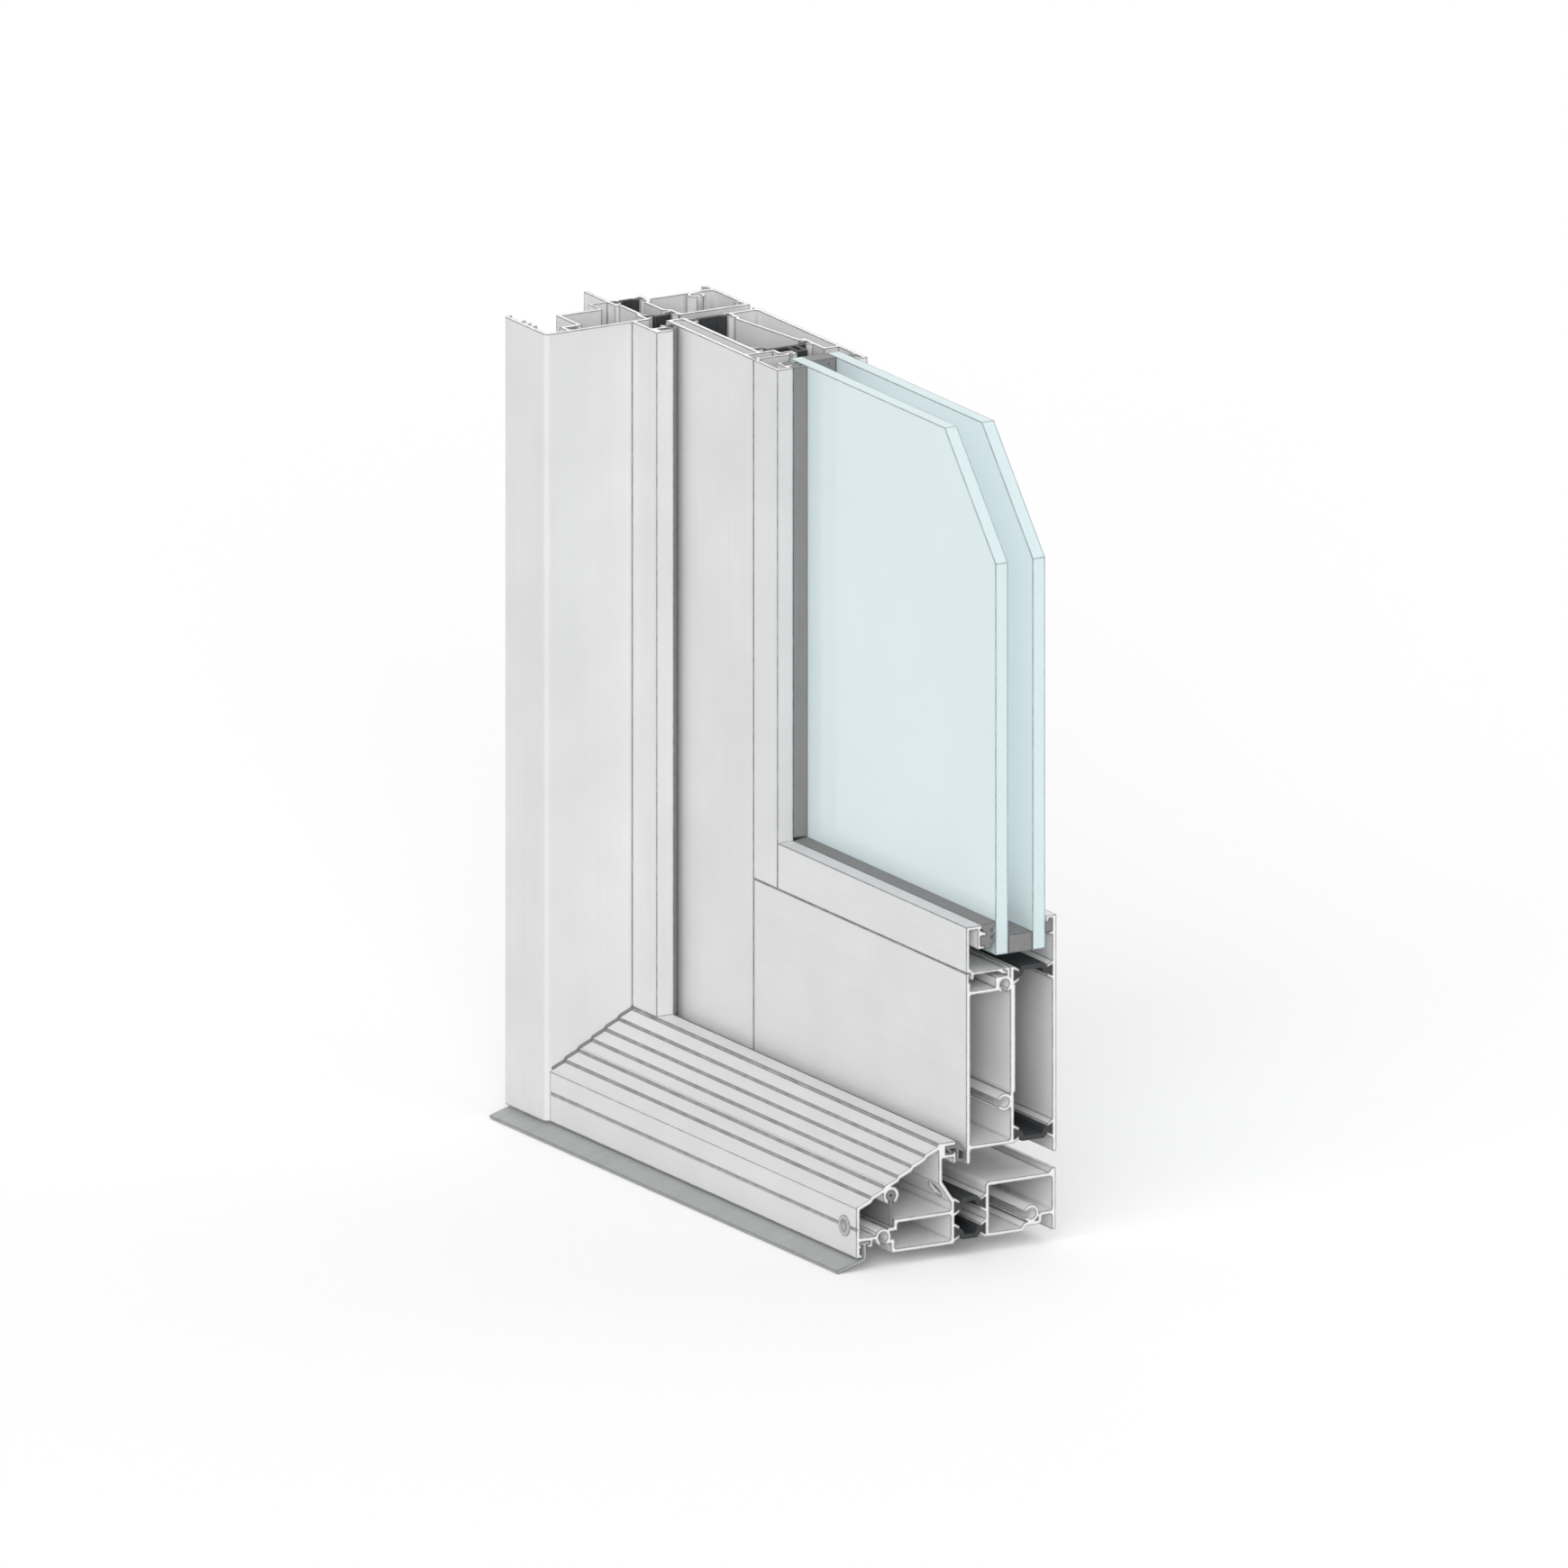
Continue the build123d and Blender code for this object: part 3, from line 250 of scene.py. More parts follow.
# %% [markdown]
# ## Painted edge shade and marks that every part has
# Edges and creases get a fine dark line, painted shade that outlines each face; a few parts lay a pale line
# there instead. The Bevel node softens the surface normal close to an edge, so where the softened and the true
# normal differ we are on an edge. A little noise breaks that line up. Noise also makes the soft patches of a
# large surface, and noise that is stretched one way makes the streaks of a pressed or drawn section.


# %% Edge lines, clouds and run marks
def noise(tree, place, swells, detail=2.0):
    """Random height between 0 and 1, with about this many swells to a metre."""
    return node(tree, "TexNoise", Vector=place, Scale=swells, Detail=detail).outputs["Fac"]


def edge_line(tree, place, width):
    """1 on edges and creases, fading out over the width, with a few paler stretches."""
    soft = node(tree, "Bevel", {"samples": 6}, Radius=width)
    true = node(tree, "NewGeometry")
    same = node(tree, "VectorMath", {"operation": "DOT_PRODUCT"})
    tree.links.new(soft.outputs["Normal"], same.inputs[0])
    tree.links.new(true.outputs["Normal"], same.inputs[1])
    bend = sum_of(tree, "SUBTRACT", 1.0, same.outputs["Value"])
    line = spread(tree, bend, 0.006, 0.04)
    strength = spread(tree, noise(tree, place, 260.0, 3.0), 0.35, 0.6, 0.75, 1.0)
    return sum_of(tree, "MULTIPLY", line, strength)


def cloud(tree, place, size, detail=3.0):
    """Soft random patches of about this size, from 0 to 1."""
    return spread(tree, noise(tree, place, 1.0 / size, detail), 0.3, 0.7)


def run_marks(tree, place, along, width, length):
    """Fine streaks along the way a section was pressed out, from 0 to 1."""
    stretch = [1.0 / width] * 3
    stretch["XYZ".index(along)] = 1.0 / length
    drawn_out = node(tree, "Mapping", Vector=place, Scale=stretch).outputs["Vector"]
    return spread(tree, noise(tree, drawn_out, 1.0), 0.3, 0.7)


def relief(tree, shader, height, distance, strength):
    """Bump from a 0..1 height, this many metres deep."""
    made = node(tree, "Bump", Strength=strength, Distance=distance, Height=height)
    tree.links.new(made.outputs["Normal"], shader.inputs["Normal"])


print("surface marks ready")

# %% [markdown]
# ## Coated aluminium with bare cut ends
# The profiles are pressed aluminium with a satin pale grey powder coat. A powder coat has a fine orange-peel
# skin, so it gets a small bump and a roughness that drifts. Where the corner was sawn off, at the far end of
# the sill and rail and at the top of the jamb and stile, bare metal shows: lighter, shinier, with the saw's
# curved marks. Two planes in Object coordinates tell those ends apart, which is simpler than cutting the
# mesh.

# %% Where the saw went
cut_end, cut_top = cad_high[0], cad_high[2]
saw_slack = 0.05 * millimetre
blade_middle = Vector((0.1, -0.34, 0.52))


def sawn(tree, place):
    """1 on the two planes where the corner was sawn off the door."""
    split = node(tree, "SeparateXYZ", Vector=place)
    end = sum_of(tree, "GREATER_THAN", split.outputs["X"], cut_end - saw_slack)
    top = sum_of(tree, "GREATER_THAN", split.outputs["Z"], cut_top - saw_slack)
    return sum_of(tree, "MAXIMUM", end, top)


def saw_marks(tree, place, pitch):
    """Curved marks of a large saw blade whose middle lies off the door, from 0 to 1."""
    from_blade = node(tree, "Mapping", Vector=place, Location=-blade_middle)
    away = node(tree, "VectorMath", {"operation": "LENGTH"})
    tree.links.new(from_blade.outputs["Vector"], away.inputs[0])
    turns = sum_of(tree, "DIVIDE", away.outputs["Value"], pitch)
    turns = sum_of(tree, "ADD", turns, noise(tree, place, 180.0))
    wave = sum_of(tree, "SINE", sum_of(tree, "MULTIPLY", turns, 2 * math.pi))
    return spread(tree, wave, -1.0, 1.0)


print("sawn planes at x", round(cut_end, 4), "and z", round(cut_top, 4))

# %% [markdown]
# On the stepped sill the risers get painted shade, a patchy dark warm grey, so that they stand apart from the
# treads, and the treads are kept free of the painted edge lines. Treads and risers each have a slope that no
# other face of that section has, so the normal finds them.

# %% The steps of the sill
ramp_steps, ramp_run, ramp_rise = 6, 39.1 * millimetre, 22.1 * millimetre
riser_run, riser_rise = 0.95 * millimetre, 1.3 * millimetre
tread_run = ramp_run / ramp_steps - riser_run
tread_rise = ramp_rise / ramp_steps - riser_rise
riser_lean = riser_rise / math.hypot(riser_run, riser_rise)
tread_lean = tread_rise / math.hypot(tread_run, tread_rise)
lean_slack, looks_up = 0.03, 0.3


def on_slope(tree, lean):
    """1 on the faces of the stepped sill that look up and outwards with this lean."""
    facing = own_facing(tree)
    front = sum_of(tree, "COMPARE", facing["Y"], -lean, lean_slack)
    return sum_of(tree, "MULTIPLY", front, sum_of(tree, "GREATER_THAN", facing["Z"], looks_up))


print("riser lean", round(riser_lean, 3), "tread lean", round(tread_lean, 3))

# %% [markdown]
# The Ambient Occlusion node finds two kinds of place: over a short distance it is dark in the corners, and
# over a long one it is dark all through a chamber. The corners get painted shade, a dark warm grey. The
# chambers get a pale colour as painted light, where shade would fall, so that they don't go dark.

# %% The colour of the coat
crevice_reach, chamber_reach = 2.2 * millimetre, 28 * millimetre
# Faint tint of the bare cut ends, also used for the painted light in the chambers.
bare_and_fill_tint = (0.995, 1.0, 0.995)


def openness(tree, reach):
    """1 in the open, less where other walls of the same part stand within this reach."""
    made = node(tree, "AmbientOcclusion", {"samples": 6, "only_local": True}, Distance=reach)
    return made.outputs["AO"]


def coat_colour(tree, place, along):
    """Pale grey with patches and streaks, painted light in the chambers and painted shade in the corners."""
    coat = blend(tree, cloud(tree, place, 38 * millimetre), grey(0.715), grey(0.775))
    streaks = run_marks(tree, place, along, 2.5 * millimetre, 140 * millimetre)
    coat = layer(tree, streaks, 0.35, coat, grey(0.70, (0.99, 1.0, 1.01)))
    # Painted light: a pale colour inside the hollow chambers, where shade would fall.
    inside = spread(tree, openness(tree, chamber_reach), 0.5, 0.22)
    coat = blend(tree, inside, coat, grey(0.92, bare_and_fill_tint))
    # Painted shade: a dark warm grey in the corners, found by ambient occlusion.
    corner_shade = spread(tree, openness(tree, crevice_reach), 0.9, 0.4, 0.0, 0.6)
    return blend(tree, corner_shade, coat, grey(0.42, (1.0, 0.99, 0.96)))


# Reaches of the painted corner shade and of the painted light in the chambers.
print("dust within", round(crevice_reach, 4), "m, bare chambers within", round(chamber_reach, 4), "m")


# %% The coat and the bare metal
def coated_aluminium(name, along, shaded_risers=False):
    """Satin powder coat on a pressed profile, bare where sawn through, with painted shade on edges and on the
    risers if asked.
    """
    material, tree, shader, place = new_finish(name)
    coat = coat_colour(tree, place, along)
    line = edge_line(tree, place, 1.1 * millimetre)
    if shaded_risers:
        # Painted shade on the risers: a patchy dark warm grey, and no painted edge line on the treads.
        riser_shade = between(tree, cloud(tree, place, 6 * millimetre, 4.0), 0.62, 0.88)
        coat = layer(tree, on_slope(tree, riser_lean), riser_shade, coat, grey(0.14, (1.0, 0.99, 0.97)))
        off_treads = sum_of(tree, "SUBTRACT", 1.0, on_slope(tree, tread_lean))
        line = sum_of(tree, "MULTIPLY", line, off_treads)
    marks = saw_marks(tree, place, 1.1 * millimetre)
    bare = blend(tree, marks, grey(0.84, bare_and_fill_tint), grey(0.92, bare_and_fill_tint))
    cut = sawn(tree, place)
    # Painted shade: a dark line laid over edges and creases.
    colour = layer(tree, line, 0.9, blend(tree, cut, coat, bare), grey(0.08))
    feed(tree, shader.inputs["Base Color"], colour)
    satin = between(tree, cloud(tree, place, 9 * millimetre), 0.42, 0.56)
    cut_gloss = between(tree, marks, 0.30, 0.44)
    feed(tree, shader.inputs["Roughness"], between(tree, cut, satin, cut_gloss))
    feed(tree, shader.inputs["Metallic"], sum_of(tree, "MULTIPLY", cut, 0.35))
    skin = between(tree, cut, noise(tree, place, 900.0), marks)
    relief(tree, shader, skin, 0.04 * millimetre, 0.5)
    return material


lying_aluminium = coated_aluminium("coated_aluminium_lying", "X")
standing_aluminium = coated_aluminium("coated_aluminium_standing", "Z")
riser_shaded_aluminium = coated_aluminium("coated_aluminium_riser_shaded", "X", shaded_risers=True)
print("made", lying_aluminium.name, standing_aluminium.name, riser_shaded_aluminium.name)

# %% [markdown]
# ## Thermal breaks
# The dark strips between the inner and outer profiles are glass-filled polyamide. The strip is drawn through
# a die, which leaves fine streaks along it, and short glass fibres glint in a matte, nearly black plastic.


# %% Glass-filled polyamide
def glass_filled_polyamide(name, along):
    """Matte dark plastic with die streaks and pale fibre specks."""
    material, tree, shader, place = new_finish(name)
    streaks = run_marks(tree, place, along, 0.5 * millimetre, 60 * millimetre)
    fibres = run_marks(tree, place, along, 0.18 * millimetre, 1.6 * millimetre)
    base = blend(tree, streaks, (0.024, 0.026, 0.028, 1), (0.038, 0.041, 0.044, 1))
    base = blend(tree, spread(tree, fibres, 0.86, 1.0, 0.0, 0.35), base, grey(0.12))
    line = edge_line(tree, place, 0.7 * millimetre)
    base = layer(tree, line, 0.5, base, (0.075, 0.078, 0.082, 1))
    feed(tree, shader.inputs["Base Color"], base)
    feed(tree, shader.inputs["Roughness"], between(tree, streaks, 0.52, 0.72))
    relief(tree, shader, streaks, 0.05 * millimetre, 0.6)
    return material


lying_polyamide = glass_filled_polyamide("polyamide_lying", "X")
standing_polyamide = glass_filled_polyamide("polyamide_standing", "Z")
print("made", lying_polyamide.name, "and", standing_polyamide.name)

# %% [markdown]
# ## Seals and gaskets
# The glazing gaskets, the closing seals and the drain flap are grey rubber. Rubber is dull; old dust and
# a faint bloom make it patchy, and it keeps the streaks of its die. A cut end is cleaner and a bit darker.


# %% Grey rubber
def grey_rubber(name, along):
    """Dull grey rubber with bloom, die streaks and darker cut ends."""
    material, tree, shader, place = new_finish(name)
    streaks = run_marks(tree, place, along, 0.7 * millimetre, 45 * millimetre)
    bloom = cloud(tree, place, 16 * millimetre, 5.0)
    base = blend(tree, streaks, grey(0.205), grey(0.24))
    base = layer(tree, bloom, 0.4, base, grey(0.275))
    base = layer(tree, sawn(tree, place), 0.5, base, grey(0.2))
    # Painted shade: a dark line on edges and creases.
    base = layer(tree, edge_line(tree, place, 0.7 * millimetre), 0.8, base, grey(0.05))
    feed(tree, shader.inputs["Base Color"], base)
    feed(tree, shader.inputs["Roughness"], between(tree, bloom, 0.62, 0.82))
    grain = sum_of(tree, "ADD", streaks, noise(tree, place, 1500.0))
    relief(tree, shader, grain, 0.04 * millimetre, 0.6)
    return material


lying_rubber = grey_rubber("grey_rubber_lying", "X")
standing_rubber = grey_rubber("grey_rubber_standing", "Z")
print("made", lying_rubber.name, "and", standing_rubber.name)

# %% [markdown]
# ## Glass
# The drawing shows the panes as a pale blue sheet, not as something to look through, so most of this glass
# is a pale body colour under a smooth gloss and only a small part of the light goes through. The ground edges
# have less gloss and look deeper in colour, because one looks along the sheet there. The normal tells them
# apart. Daylight still passes a real pane, so rays that ask for light, the shadow rays and the soft bounces,
# meet a clear tinted sheet instead. Without that the cavity between the panes would be a dark slot.

# %% Float glass
pane_finish, tree, shader, place = new_finish("float_glass")
ground = sum_of(tree, "LESS_THAN", sum_of(tree, "ABSOLUTE", own_facing(tree)["Y"]), 0.5)
haze = cloud(tree, place, 70 * millimetre, 4.0)
sheet = blend(tree, haze, (0.735, 0.845, 0.868, 1), (0.765, 0.87, 0.89, 1))
chips = noise(tree, place, 700.0, 3.0)
edge_tint = blend(tree, chips, (0.69, 0.825, 0.85, 1), (0.77, 0.88, 0.90, 1))
pane_colour = blend(tree, ground, sheet, edge_tint)
# Painted shade: a dark line on the pane's edges and creases.
pane_line = edge_line(tree, place, 1.1 * millimetre)
pane_colour = layer(tree, pane_line, 0.85, pane_colour, (0.07, 0.11, 0.12, 1))
feed(tree, shader.inputs["Base Color"], pane_colour)
smooth = between(tree, haze, 0.05, 0.12)
edge_rough = between(tree, chips, 0.35, 0.55)
feed(tree, shader.inputs["Roughness"], between(tree, ground, smooth, edge_rough))
shader.inputs["IOR"].default_value = 1.5
shader.inputs["Transmission Weight"].default_value = 0.12
relief(tree, shader, noise(tree, place, 14.0, 1.0), 0.2 * millimetre, 0.15)
print("made", pane_finish.name)

# %% Let daylight through the glass
daylight_share = 0.85
ray = node(tree, "LightPath").outputs
asks_for_light = sum_of(tree, "MAXIMUM", ray["Is Shadow Ray"], ray["Is Diffuse Ray"])
clear = node(tree, "BsdfTransparent", Color=(0.955, 0.97, 0.975, 1))
pane_mix = node(tree, "MixShader", Fac=sum_of(tree, "MULTIPLY", asks_for_light, daylight_share))
tree.links.new(shader.outputs["BSDF"], pane_mix.inputs[1])
tree.links.new(clear.outputs["BSDF"], pane_mix.inputs[2])
tree.links.new(pane_mix.outputs["Shader"], tree.nodes["Material Output"].inputs["Surface"])
print("glass passes", daylight_share, "of the light")

# %% [markdown]
# ## Spacer bars
# A grey bar keeps the two panes apart. Its inner face has two rows of pin holes, through which the drying
# powder inside can reach the cavity, and a dark line of butyl runs along each pane. Both follow from where a
# point lies across the glass unit and along the bar, so a few sums draw them without a picture.

# %% Measure the cavity between the panes
cavity_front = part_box("outer_pane")[1].y
cavity_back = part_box("inner_pane")[0].y
cavity_middle = (cavity_front + cavity_back) / 2
hole_pitch, hole_row = 4 * millimetre, 2.2 * millimetre
hole_edge, hole_bottom = 0.55 * millimetre, 0.35 * millimetre
butyl_start, butyl_full = 5.3 * millimetre, 5.6 * millimetre
print("cavity", round((cavity_back - cavity_front) / millimetre, 2), "mm deep")


# %% Perforated spacer
def spacer_bar(name, along):
    """Grey bar with two rows of pin holes on its inner face and butyl beside the panes."""
    material, tree, shader, place = new_finish(name)
    split = node(tree, "SeparateXYZ", Vector=place).outputs
    across = sum_of(tree, "ABSOLUTE", sum_of(tree, "SUBTRACT", split["Y"], cavity_middle))
    run = sum_of(tree, "PINGPONG", split[along], hole_pitch / 2)
    row = sum_of(tree, "SUBTRACT", across, hole_row)
    run_squared = sum_of(tree, "POWER", run, 2.0)
    row_squared = sum_of(tree, "POWER", row, 2.0)
    off_hole = sum_of(tree, "SQRT", sum_of(tree, "ADD", run_squared, row_squared))
    whole = sum_of(tree, "SUBTRACT", 1.0, sawn(tree, place))
    hole = sum_of(tree, "MULTIPLY", spread(tree, off_hole, hole_edge, hole_bottom), whole)
    butyl = spread(tree, across, butyl_start, butyl_full)
    speck = noise(tree, place, 1100.0)
    base = blend(tree, spread(tree, speck, 0.35, 0.65), grey(0.195), grey(0.24))
    base = layer(tree, cloud(tree, place, 20 * millimetre), 0.3, base, grey(0.26))
    # Painted shade: the pin holes are dark spots of colour, not cut in the mesh, and edges get a dark line;
    # the butyl is its own dark colour.
    dark = sum_of(tree, "MULTIPLY", hole, 0.8)
    dark = sum_of(tree, "MAXIMUM", dark, sum_of(tree, "MULTIPLY", butyl, 0.75))
    line = sum_of(tree, "MULTIPLY", edge_line(tree, place, 0.7 * millimetre), 0.7)
    base = blend(tree, sum_of(tree, "MAXIMUM", dark, line), base, grey(0.03))
    feed(tree, shader.inputs["Base Color"], base)
    feed(tree, shader.inputs["Roughness"], spread(tree, speck, 0.3, 0.7, 0.5, 0.68))
    relief(tree, shader, sum_of(tree, "SUBTRACT", speck, hole), 0.06 * millimetre, 0.6)
    return material


lying_spacer = spacer_bar("spacer_lying", "X")
standing_spacer = spacer_bar("spacer_standing", "Z")
print("made", lying_spacer.name, "and", standing_spacer.name)

# %% [markdown]
# ## Flashing, weep ring, block and hinge
# The drip flashing below the sill is a folded sheet in a darker grey, with faint stains where water ran off.
# The ring round the weep hole is moulded plastic. The setting block under the glass is hard black plastic
# with cross ribs. The hinge is brushed steel: its streaks run up and down, and its edges are rubbed bright.

# %% Folded flashing
flashing_finish, tree, shader, place = new_finish("folded_flashing")
rain = run_marks(tree, place, "Y", 4 * millimetre, 60 * millimetre)
patches = cloud(tree, place, 30 * millimetre)
sheet = blend(tree, patches, (0.385, 0.40, 0.395, 1), (0.43, 0.445, 0.44, 1))
sheet = layer(tree, rain, 0.35, sheet, (0.36, 0.37, 0.36, 1))
# Painted shade: a dark line on edges and creases.
sheet = layer(tree, edge_line(tree, place, 0.8 * millimetre), 0.8, sheet, grey(0.09))
feed(tree, shader.inputs["Base Color"], sheet)
feed(tree, shader.inputs["Roughness"], between(tree, rain, 0.5, 0.68))
relief(tree, shader, noise(tree, place, 1000.0), 0.04 * millimetre, 0.5)
print("made", flashing_finish.name)

# %% Moulded weep ring
ring_finish, tree, shader, place = new_finish("moulded_ring")
speck = noise(tree, place, 900.0, 3.0)
base = blend(tree, speck, grey(0.46), grey(0.56))
# Painted shade: a dark line on edges and creases.
base = layer(tree, edge_line(tree, place, 0.6 * millimetre), 0.9, base, grey(0.06))
feed(tree, shader.inputs["Base Color"], base)
feed(tree, shader.inputs["Roughness"], spread(tree, speck, 0.3, 0.7, 0.42, 0.58))
relief(tree, shader, speck, 0.03 * millimetre, 0.5)
print("made", ring_finish.name)

# %% Ribbed setting block
rib_pitch, rib_foot, rib_top = 3 * millimetre, 0.4 * millimetre, 0.9 * millimetre
block_finish, tree, shader, place = new_finish("ribbed_block")
along_block = node(tree, "SeparateXYZ", Vector=place).outputs["X"]
rib = spread(tree, sum_of(tree, "PINGPONG", along_block, rib_pitch / 2), rib_foot, rib_top)
# Painted shade: the grooves between the ribs are a darker colour than the rib tops.
base = blend(tree, rib, grey(0.035), grey(0.055))
base = layer(tree, cloud(tree, place, 8 * millimetre), 0.4, base, grey(0.07))
feed(tree, shader.inputs["Base Color"], base)
feed(tree, shader.inputs["Roughness"], between(tree, rib, 0.7, 0.55))
relief(tree, shader, rib, 0.3 * millimetre, 0.6)
print("made", block_finish.name)


# %% Brushed steel
def brushed_steel(name, along, darkest, lightest):
    """Satin steel with brush marks one way and edges rubbed bright."""
    steel_tint = (1.0, 0.995, 0.985)
    material, tree, shader, place = new_finish(name)
    marks = run_marks(tree, place, along, 0.25 * millimetre, 24 * millimetre)
    base = blend(tree, marks, grey(darkest, steel_tint), grey(lightest, steel_tint))
    base = layer(tree, edge_line(tree, place, 0.8 * millimetre), 0.6, base, grey(0.8))
    feed(tree, shader.inputs["Base Color"], base)
    shader.inputs["Metallic"].default_value = 1.0
    touch = sum_of(tree, "MULTIPLY", cloud(tree, place, 12 * millimetre, 4.0), 0.1)
    rough = sum_of(tree, "ADD", between(tree, marks, 0.26, 0.36), touch)
    feed(tree, shader.inputs["Roughness"], rough)
    relief(tree, shader, marks, 0.02 * millimetre, 0.5)
    return material


hinge_finish = brushed_steel("brushed_hinge_steel", "Z", darkest=0.36, lightest=0.48)
screw_finish = brushed_steel("screw_steel", "X", darkest=0.62, lightest=0.74)
print("made", hinge_finish.name, "and", screw_finish.name)

# %% [markdown]
# ## Dressing the parts
# Each CAD part names a material slot in its record. Profiles, breaks, seals and spacers come in two forms:
# one lies along X and one stands along Z, and the part's name says which. A part's object is never moved:
# only the material in its slot changes.

# %% Give every part its finish
lying = {
    "aluminium": lying_aluminium,
    "thermal_break": lying_polyamide,
    "rubber": lying_rubber,
    "spacer": lying_spacer,
}
standing = {
    "aluminium": standing_aluminium,
    "thermal_break": standing_polyamide,
    "rubber": standing_rubber,
    "spacer": standing_spacer,
}
either = {
    "glass": pane_finish,
    "flashing": flashing_finish,
    "weep_ring": ring_finish,
    "block": block_finish,
    "hinge": hinge_finish,
}
for subpart in frame["record"]["subparts"]:
    name, slot = subpart["node"], subpart["material_slot"]
    upright = name.startswith(("jamb", "stile"))
    finish = either.get(slot) or (standing if upright else lying)[slot]
    if name == "sill_outer_profile":
        finish = riser_shaded_aluminium
    part = frame["nodes"][name]
    part.data.materials.clear()
    part.data.materials.append(finish)

# %% [markdown]
# ## Hinge screws
# Each hinge plate has three countersunk holes, and a screw sits in each. By hand one would draw the round
# rim of the head and a six-sided socket, bridge the two outlines to a face, push the socket in, and draw the
# rim down to a cone and a shank. The same moves run here as operators, on the screw's own place on the door.

# %% Measure the hinge
plate_low, plate_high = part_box("hinge_frame_plate")
pin_low, pin_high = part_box("hinge_pin")
pin_x = (pin_low.x + pin_high.x) / 2
plate_thickness, plate_gap, plate_width = 2.5 * millimetre, 5.6 * millimetre, 27 * millimetre
screw_pitch = 34 * millimetre
plate_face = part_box("stile_inner_profile")[1].y + plate_thickness
plate_middle = plate_gap + plate_width / 2
hinge_middle = (plate_low.z + plate_high.z) / 2
print("hinge middle", round(hinge_middle, 4), "plate face", round(plate_face, 4))


# %% Selection by place
def pick(mesh_object, test, kind="VERT"):
    """In edit mode, select the vertices, edges or faces whose every point passes the test."""
    bpy.ops.mesh.select_mode(type="VERT")
    bpy.ops.mesh.select_all(action="DESELECT")
    bpy.ops.object.mode_set(mode="OBJECT")
    for vertex in mesh_object.data.vertices:
        vertex.select = bool(test(mesh_object.matrix_world @ vertex.co))
    bpy.ops.object.mode_set(mode="EDIT")
    bpy.ops.mesh.select_mode(type=kind)


def settle(mesh_object, name, body, finish):
    """Bring a finished piece to rest: place in the mesh, name, finish, body and slot."""
    bpy.ops.object.transform_apply(location=True, rotation=True, scale=True)
    mesh_object.name = name
    mesh_object.data.name = name
    mesh_object.data.materials.clear()
    mesh_object.data.materials.append(finish)
    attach(mesh_object, body)


print("selection helpers ready")

# %% Head and socket of one screw
head_radius, shank_radius, socket_radius = 3.9 * millimetre, 2.0 * millimetre, 1.7 * millimetre
head_drop, socket_depth = 0.1 * millimetre, 1.3 * millimetre
pick_slack = 0.02
head_place = Vector((pin_x + plate_middle, plate_face - head_drop, hinge_middle))
head_stance = {"location": head_place, "rotation": (math.radians(-90), 0, 0)}
bpy.ops.object.select_all(action="DESELECT")
bpy.ops.mesh.primitive_circle_add(vertices=36, radius=head_radius, **head_stance)
first_screw = bpy.context.object
bpy.ops.object.mode_set(mode="EDIT")
bpy.ops.mesh.primitive_circle_add(vertices=6, radius=socket_radius, **head_stance)
bpy.ops.mesh.select_all(action="SELECT")
bpy.ops.mesh.bridge_edge_loops()


def off_axis(point):
    """Distance of a point from the screw's axis."""
    return math.hypot(point.x - head_place.x, point.z - head_place.z)


def in_socket(point):
    """Whether a point lies on or within the socket's outline."""
    return off_axis(point) < socket_radius * (1 + pick_slack)


def on_rim(point):
    """Whether a point lies on the rim of the head."""
    return off_axis(point) > head_radius * (1 - pick_slack)


pick(first_screw, in_socket, "EDGE")
bpy.ops.mesh.extrude_edges_move(TRANSFORM_OT_translate={"value": (0, -socket_depth, 0)})
bpy.ops.mesh.edge_face_add()
bpy.ops.mesh.poke()
print("head and socket:", len(first_screw.data.polygons), "faces before the cone")

# %% Cone, shank and rim of the screw
rim_height, rim_round = 0.15 * millimetre, 0.14 * millimetre
sink_depth, shank_length = 2.15 * millimetre, 6 * millimetre
shrink = shank_radius / head_radius
pick(first_screw, on_rim, "EDGE")
bpy.ops.mesh.extrude_edges_move(TRANSFORM_OT_translate={"value": (0, -rim_height, 0)})
bpy.ops.mesh.extrude_edges_move(TRANSFORM_OT_translate={"value": (0, -sink_depth, 0)})
bpy.ops.transform.resize(value=(shrink, 1, shrink), center_override=head_place)
bpy.ops.mesh.extrude_edges_move(TRANSFORM_OT_translate={"value": (0, -shank_length, 0)})
bpy.ops.mesh.edge_face_add()
rim_level = head_place.y - rim_height / 3
pick(first_screw, lambda point: point.y > rim_level and on_rim(point), "EDGE")
bpy.ops.mesh.bevel(offset=rim_round, segments=2)
bpy.ops.mesh.select_all(action="SELECT")
bpy.ops.mesh.normals_make_consistent(inside=False)
bpy.ops.object.mode_set(mode="OBJECT")
bpy.ops.object.shade_smooth_by_angle(angle=math.radians(35))
settle(first_screw, "hinge_screw_leaf_2", "leaf", screw_finish)
print("one screw:", len(first_screw.data.polygons), "faces")

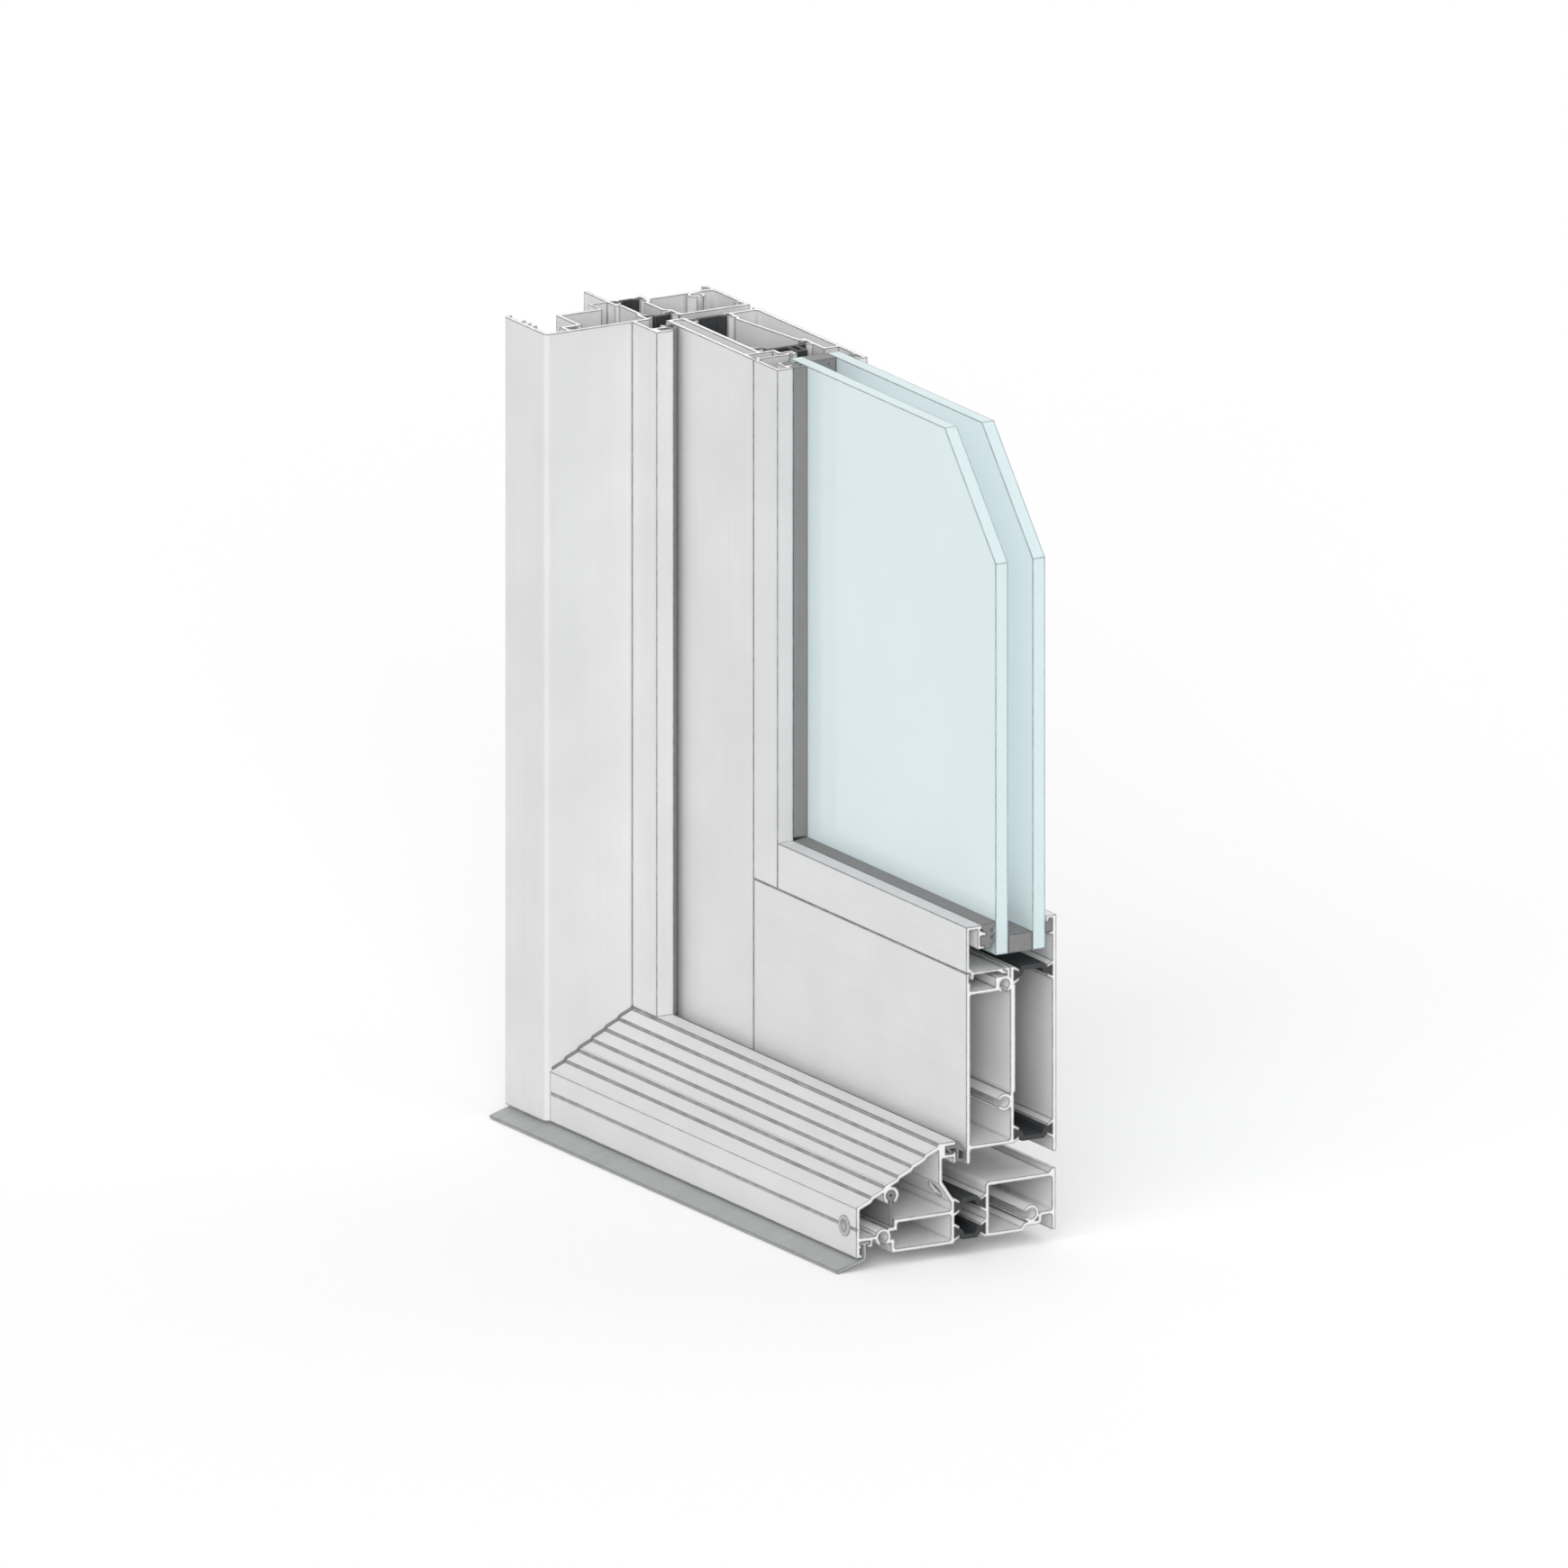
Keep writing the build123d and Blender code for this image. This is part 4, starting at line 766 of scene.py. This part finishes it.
# %% Copy it to the other five holes
screws = [first_screw]
for body, side in (("leaf", 1), ("frame", -1)):
    for row in (-1, 0, 1):
        if (side, row) == (1, 0):
            continue
        copy = first_screw.copy()
        copy.data = first_screw.data.copy()
        copy.parent = None
        scene.collection.objects.link(copy)
        shift = Vector(((side - 1) * plate_middle, 0, row * screw_pitch))
        last_turn = 0.7 * row + 0.4 * side
        bpy.ops.object.select_all(action="DESELECT")
        copy.select_set(True)
        bpy.context.view_layer.objects.active = copy
        bpy.ops.object.mode_set(mode="EDIT")
        bpy.ops.mesh.select_all(action="SELECT")
        bpy.ops.transform.rotate(value=last_turn, orient_axis="Y", center_override=head_place)
        bpy.ops.transform.translate(value=shift)
        bpy.ops.object.mode_set(mode="OBJECT")
        settle(copy, f"hinge_screw_{body}_{row + 2}", body, screw_finish)
        screws.append(copy)
print("screws:", [screw.name for screw in screws])

# %% [markdown]
# ## Joint sealant
# Where the stepped sill runs into the jamb, the fitter draws a thin bead of sealant, so that rain on the
# treads can't get behind. A finger smooths the bead, so its section is a small square whose outer corner is
# hollowed. A hollow bevel makes that, and extruding the section step by step follows treads and risers.

# %% Bead of sealant up the steps
foot_setback, foot_height = 0.9 * millimetre, 22.5 * millimetre
bead_reach = 1.1 * millimetre
sill_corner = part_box("sill_outer_profile")[0]
ramp_foot = Vector((sill_corner.x, sill_corner.y + foot_setback, foot_height))
bead_middle = ramp_foot + Vector((bead_reach / 2, 0, bead_reach / 2))
bead_stance = {"location": bead_middle, "rotation": (math.radians(90), 0, 0)}
bpy.ops.object.select_all(action="DESELECT")
bpy.ops.mesh.primitive_plane_add(size=bead_reach, **bead_stance)
sealant = bpy.context.object
bpy.ops.object.mode_set(mode="EDIT")
pick(sealant, lambda point: point.x > bead_middle.x and point.z > bead_middle.z)
bpy.ops.mesh.bevel(affect="VERTICES", offset=0.85 * bead_reach, segments=4, profile=0.2)
bpy.ops.mesh.select_all(action="SELECT")
for _ in range(ramp_steps):
    bpy.ops.mesh.extrude_region_move(TRANSFORM_OT_translate={"value": (0, tread_run, tread_rise)})
    bpy.ops.mesh.extrude_region_move(TRANSFORM_OT_translate={"value": (0, riser_run, riser_rise)})
bpy.ops.mesh.select_all(action="SELECT")
bpy.ops.mesh.normals_make_consistent(inside=False)
bpy.ops.object.mode_set(mode="OBJECT")
bpy.ops.object.shade_smooth_by_angle(angle=math.radians(25))
settle(sealant, "joint_sealant", "frame", lying_rubber)
print("sealant climbs", round(ramp_rise / millimetre, 1), "mm")
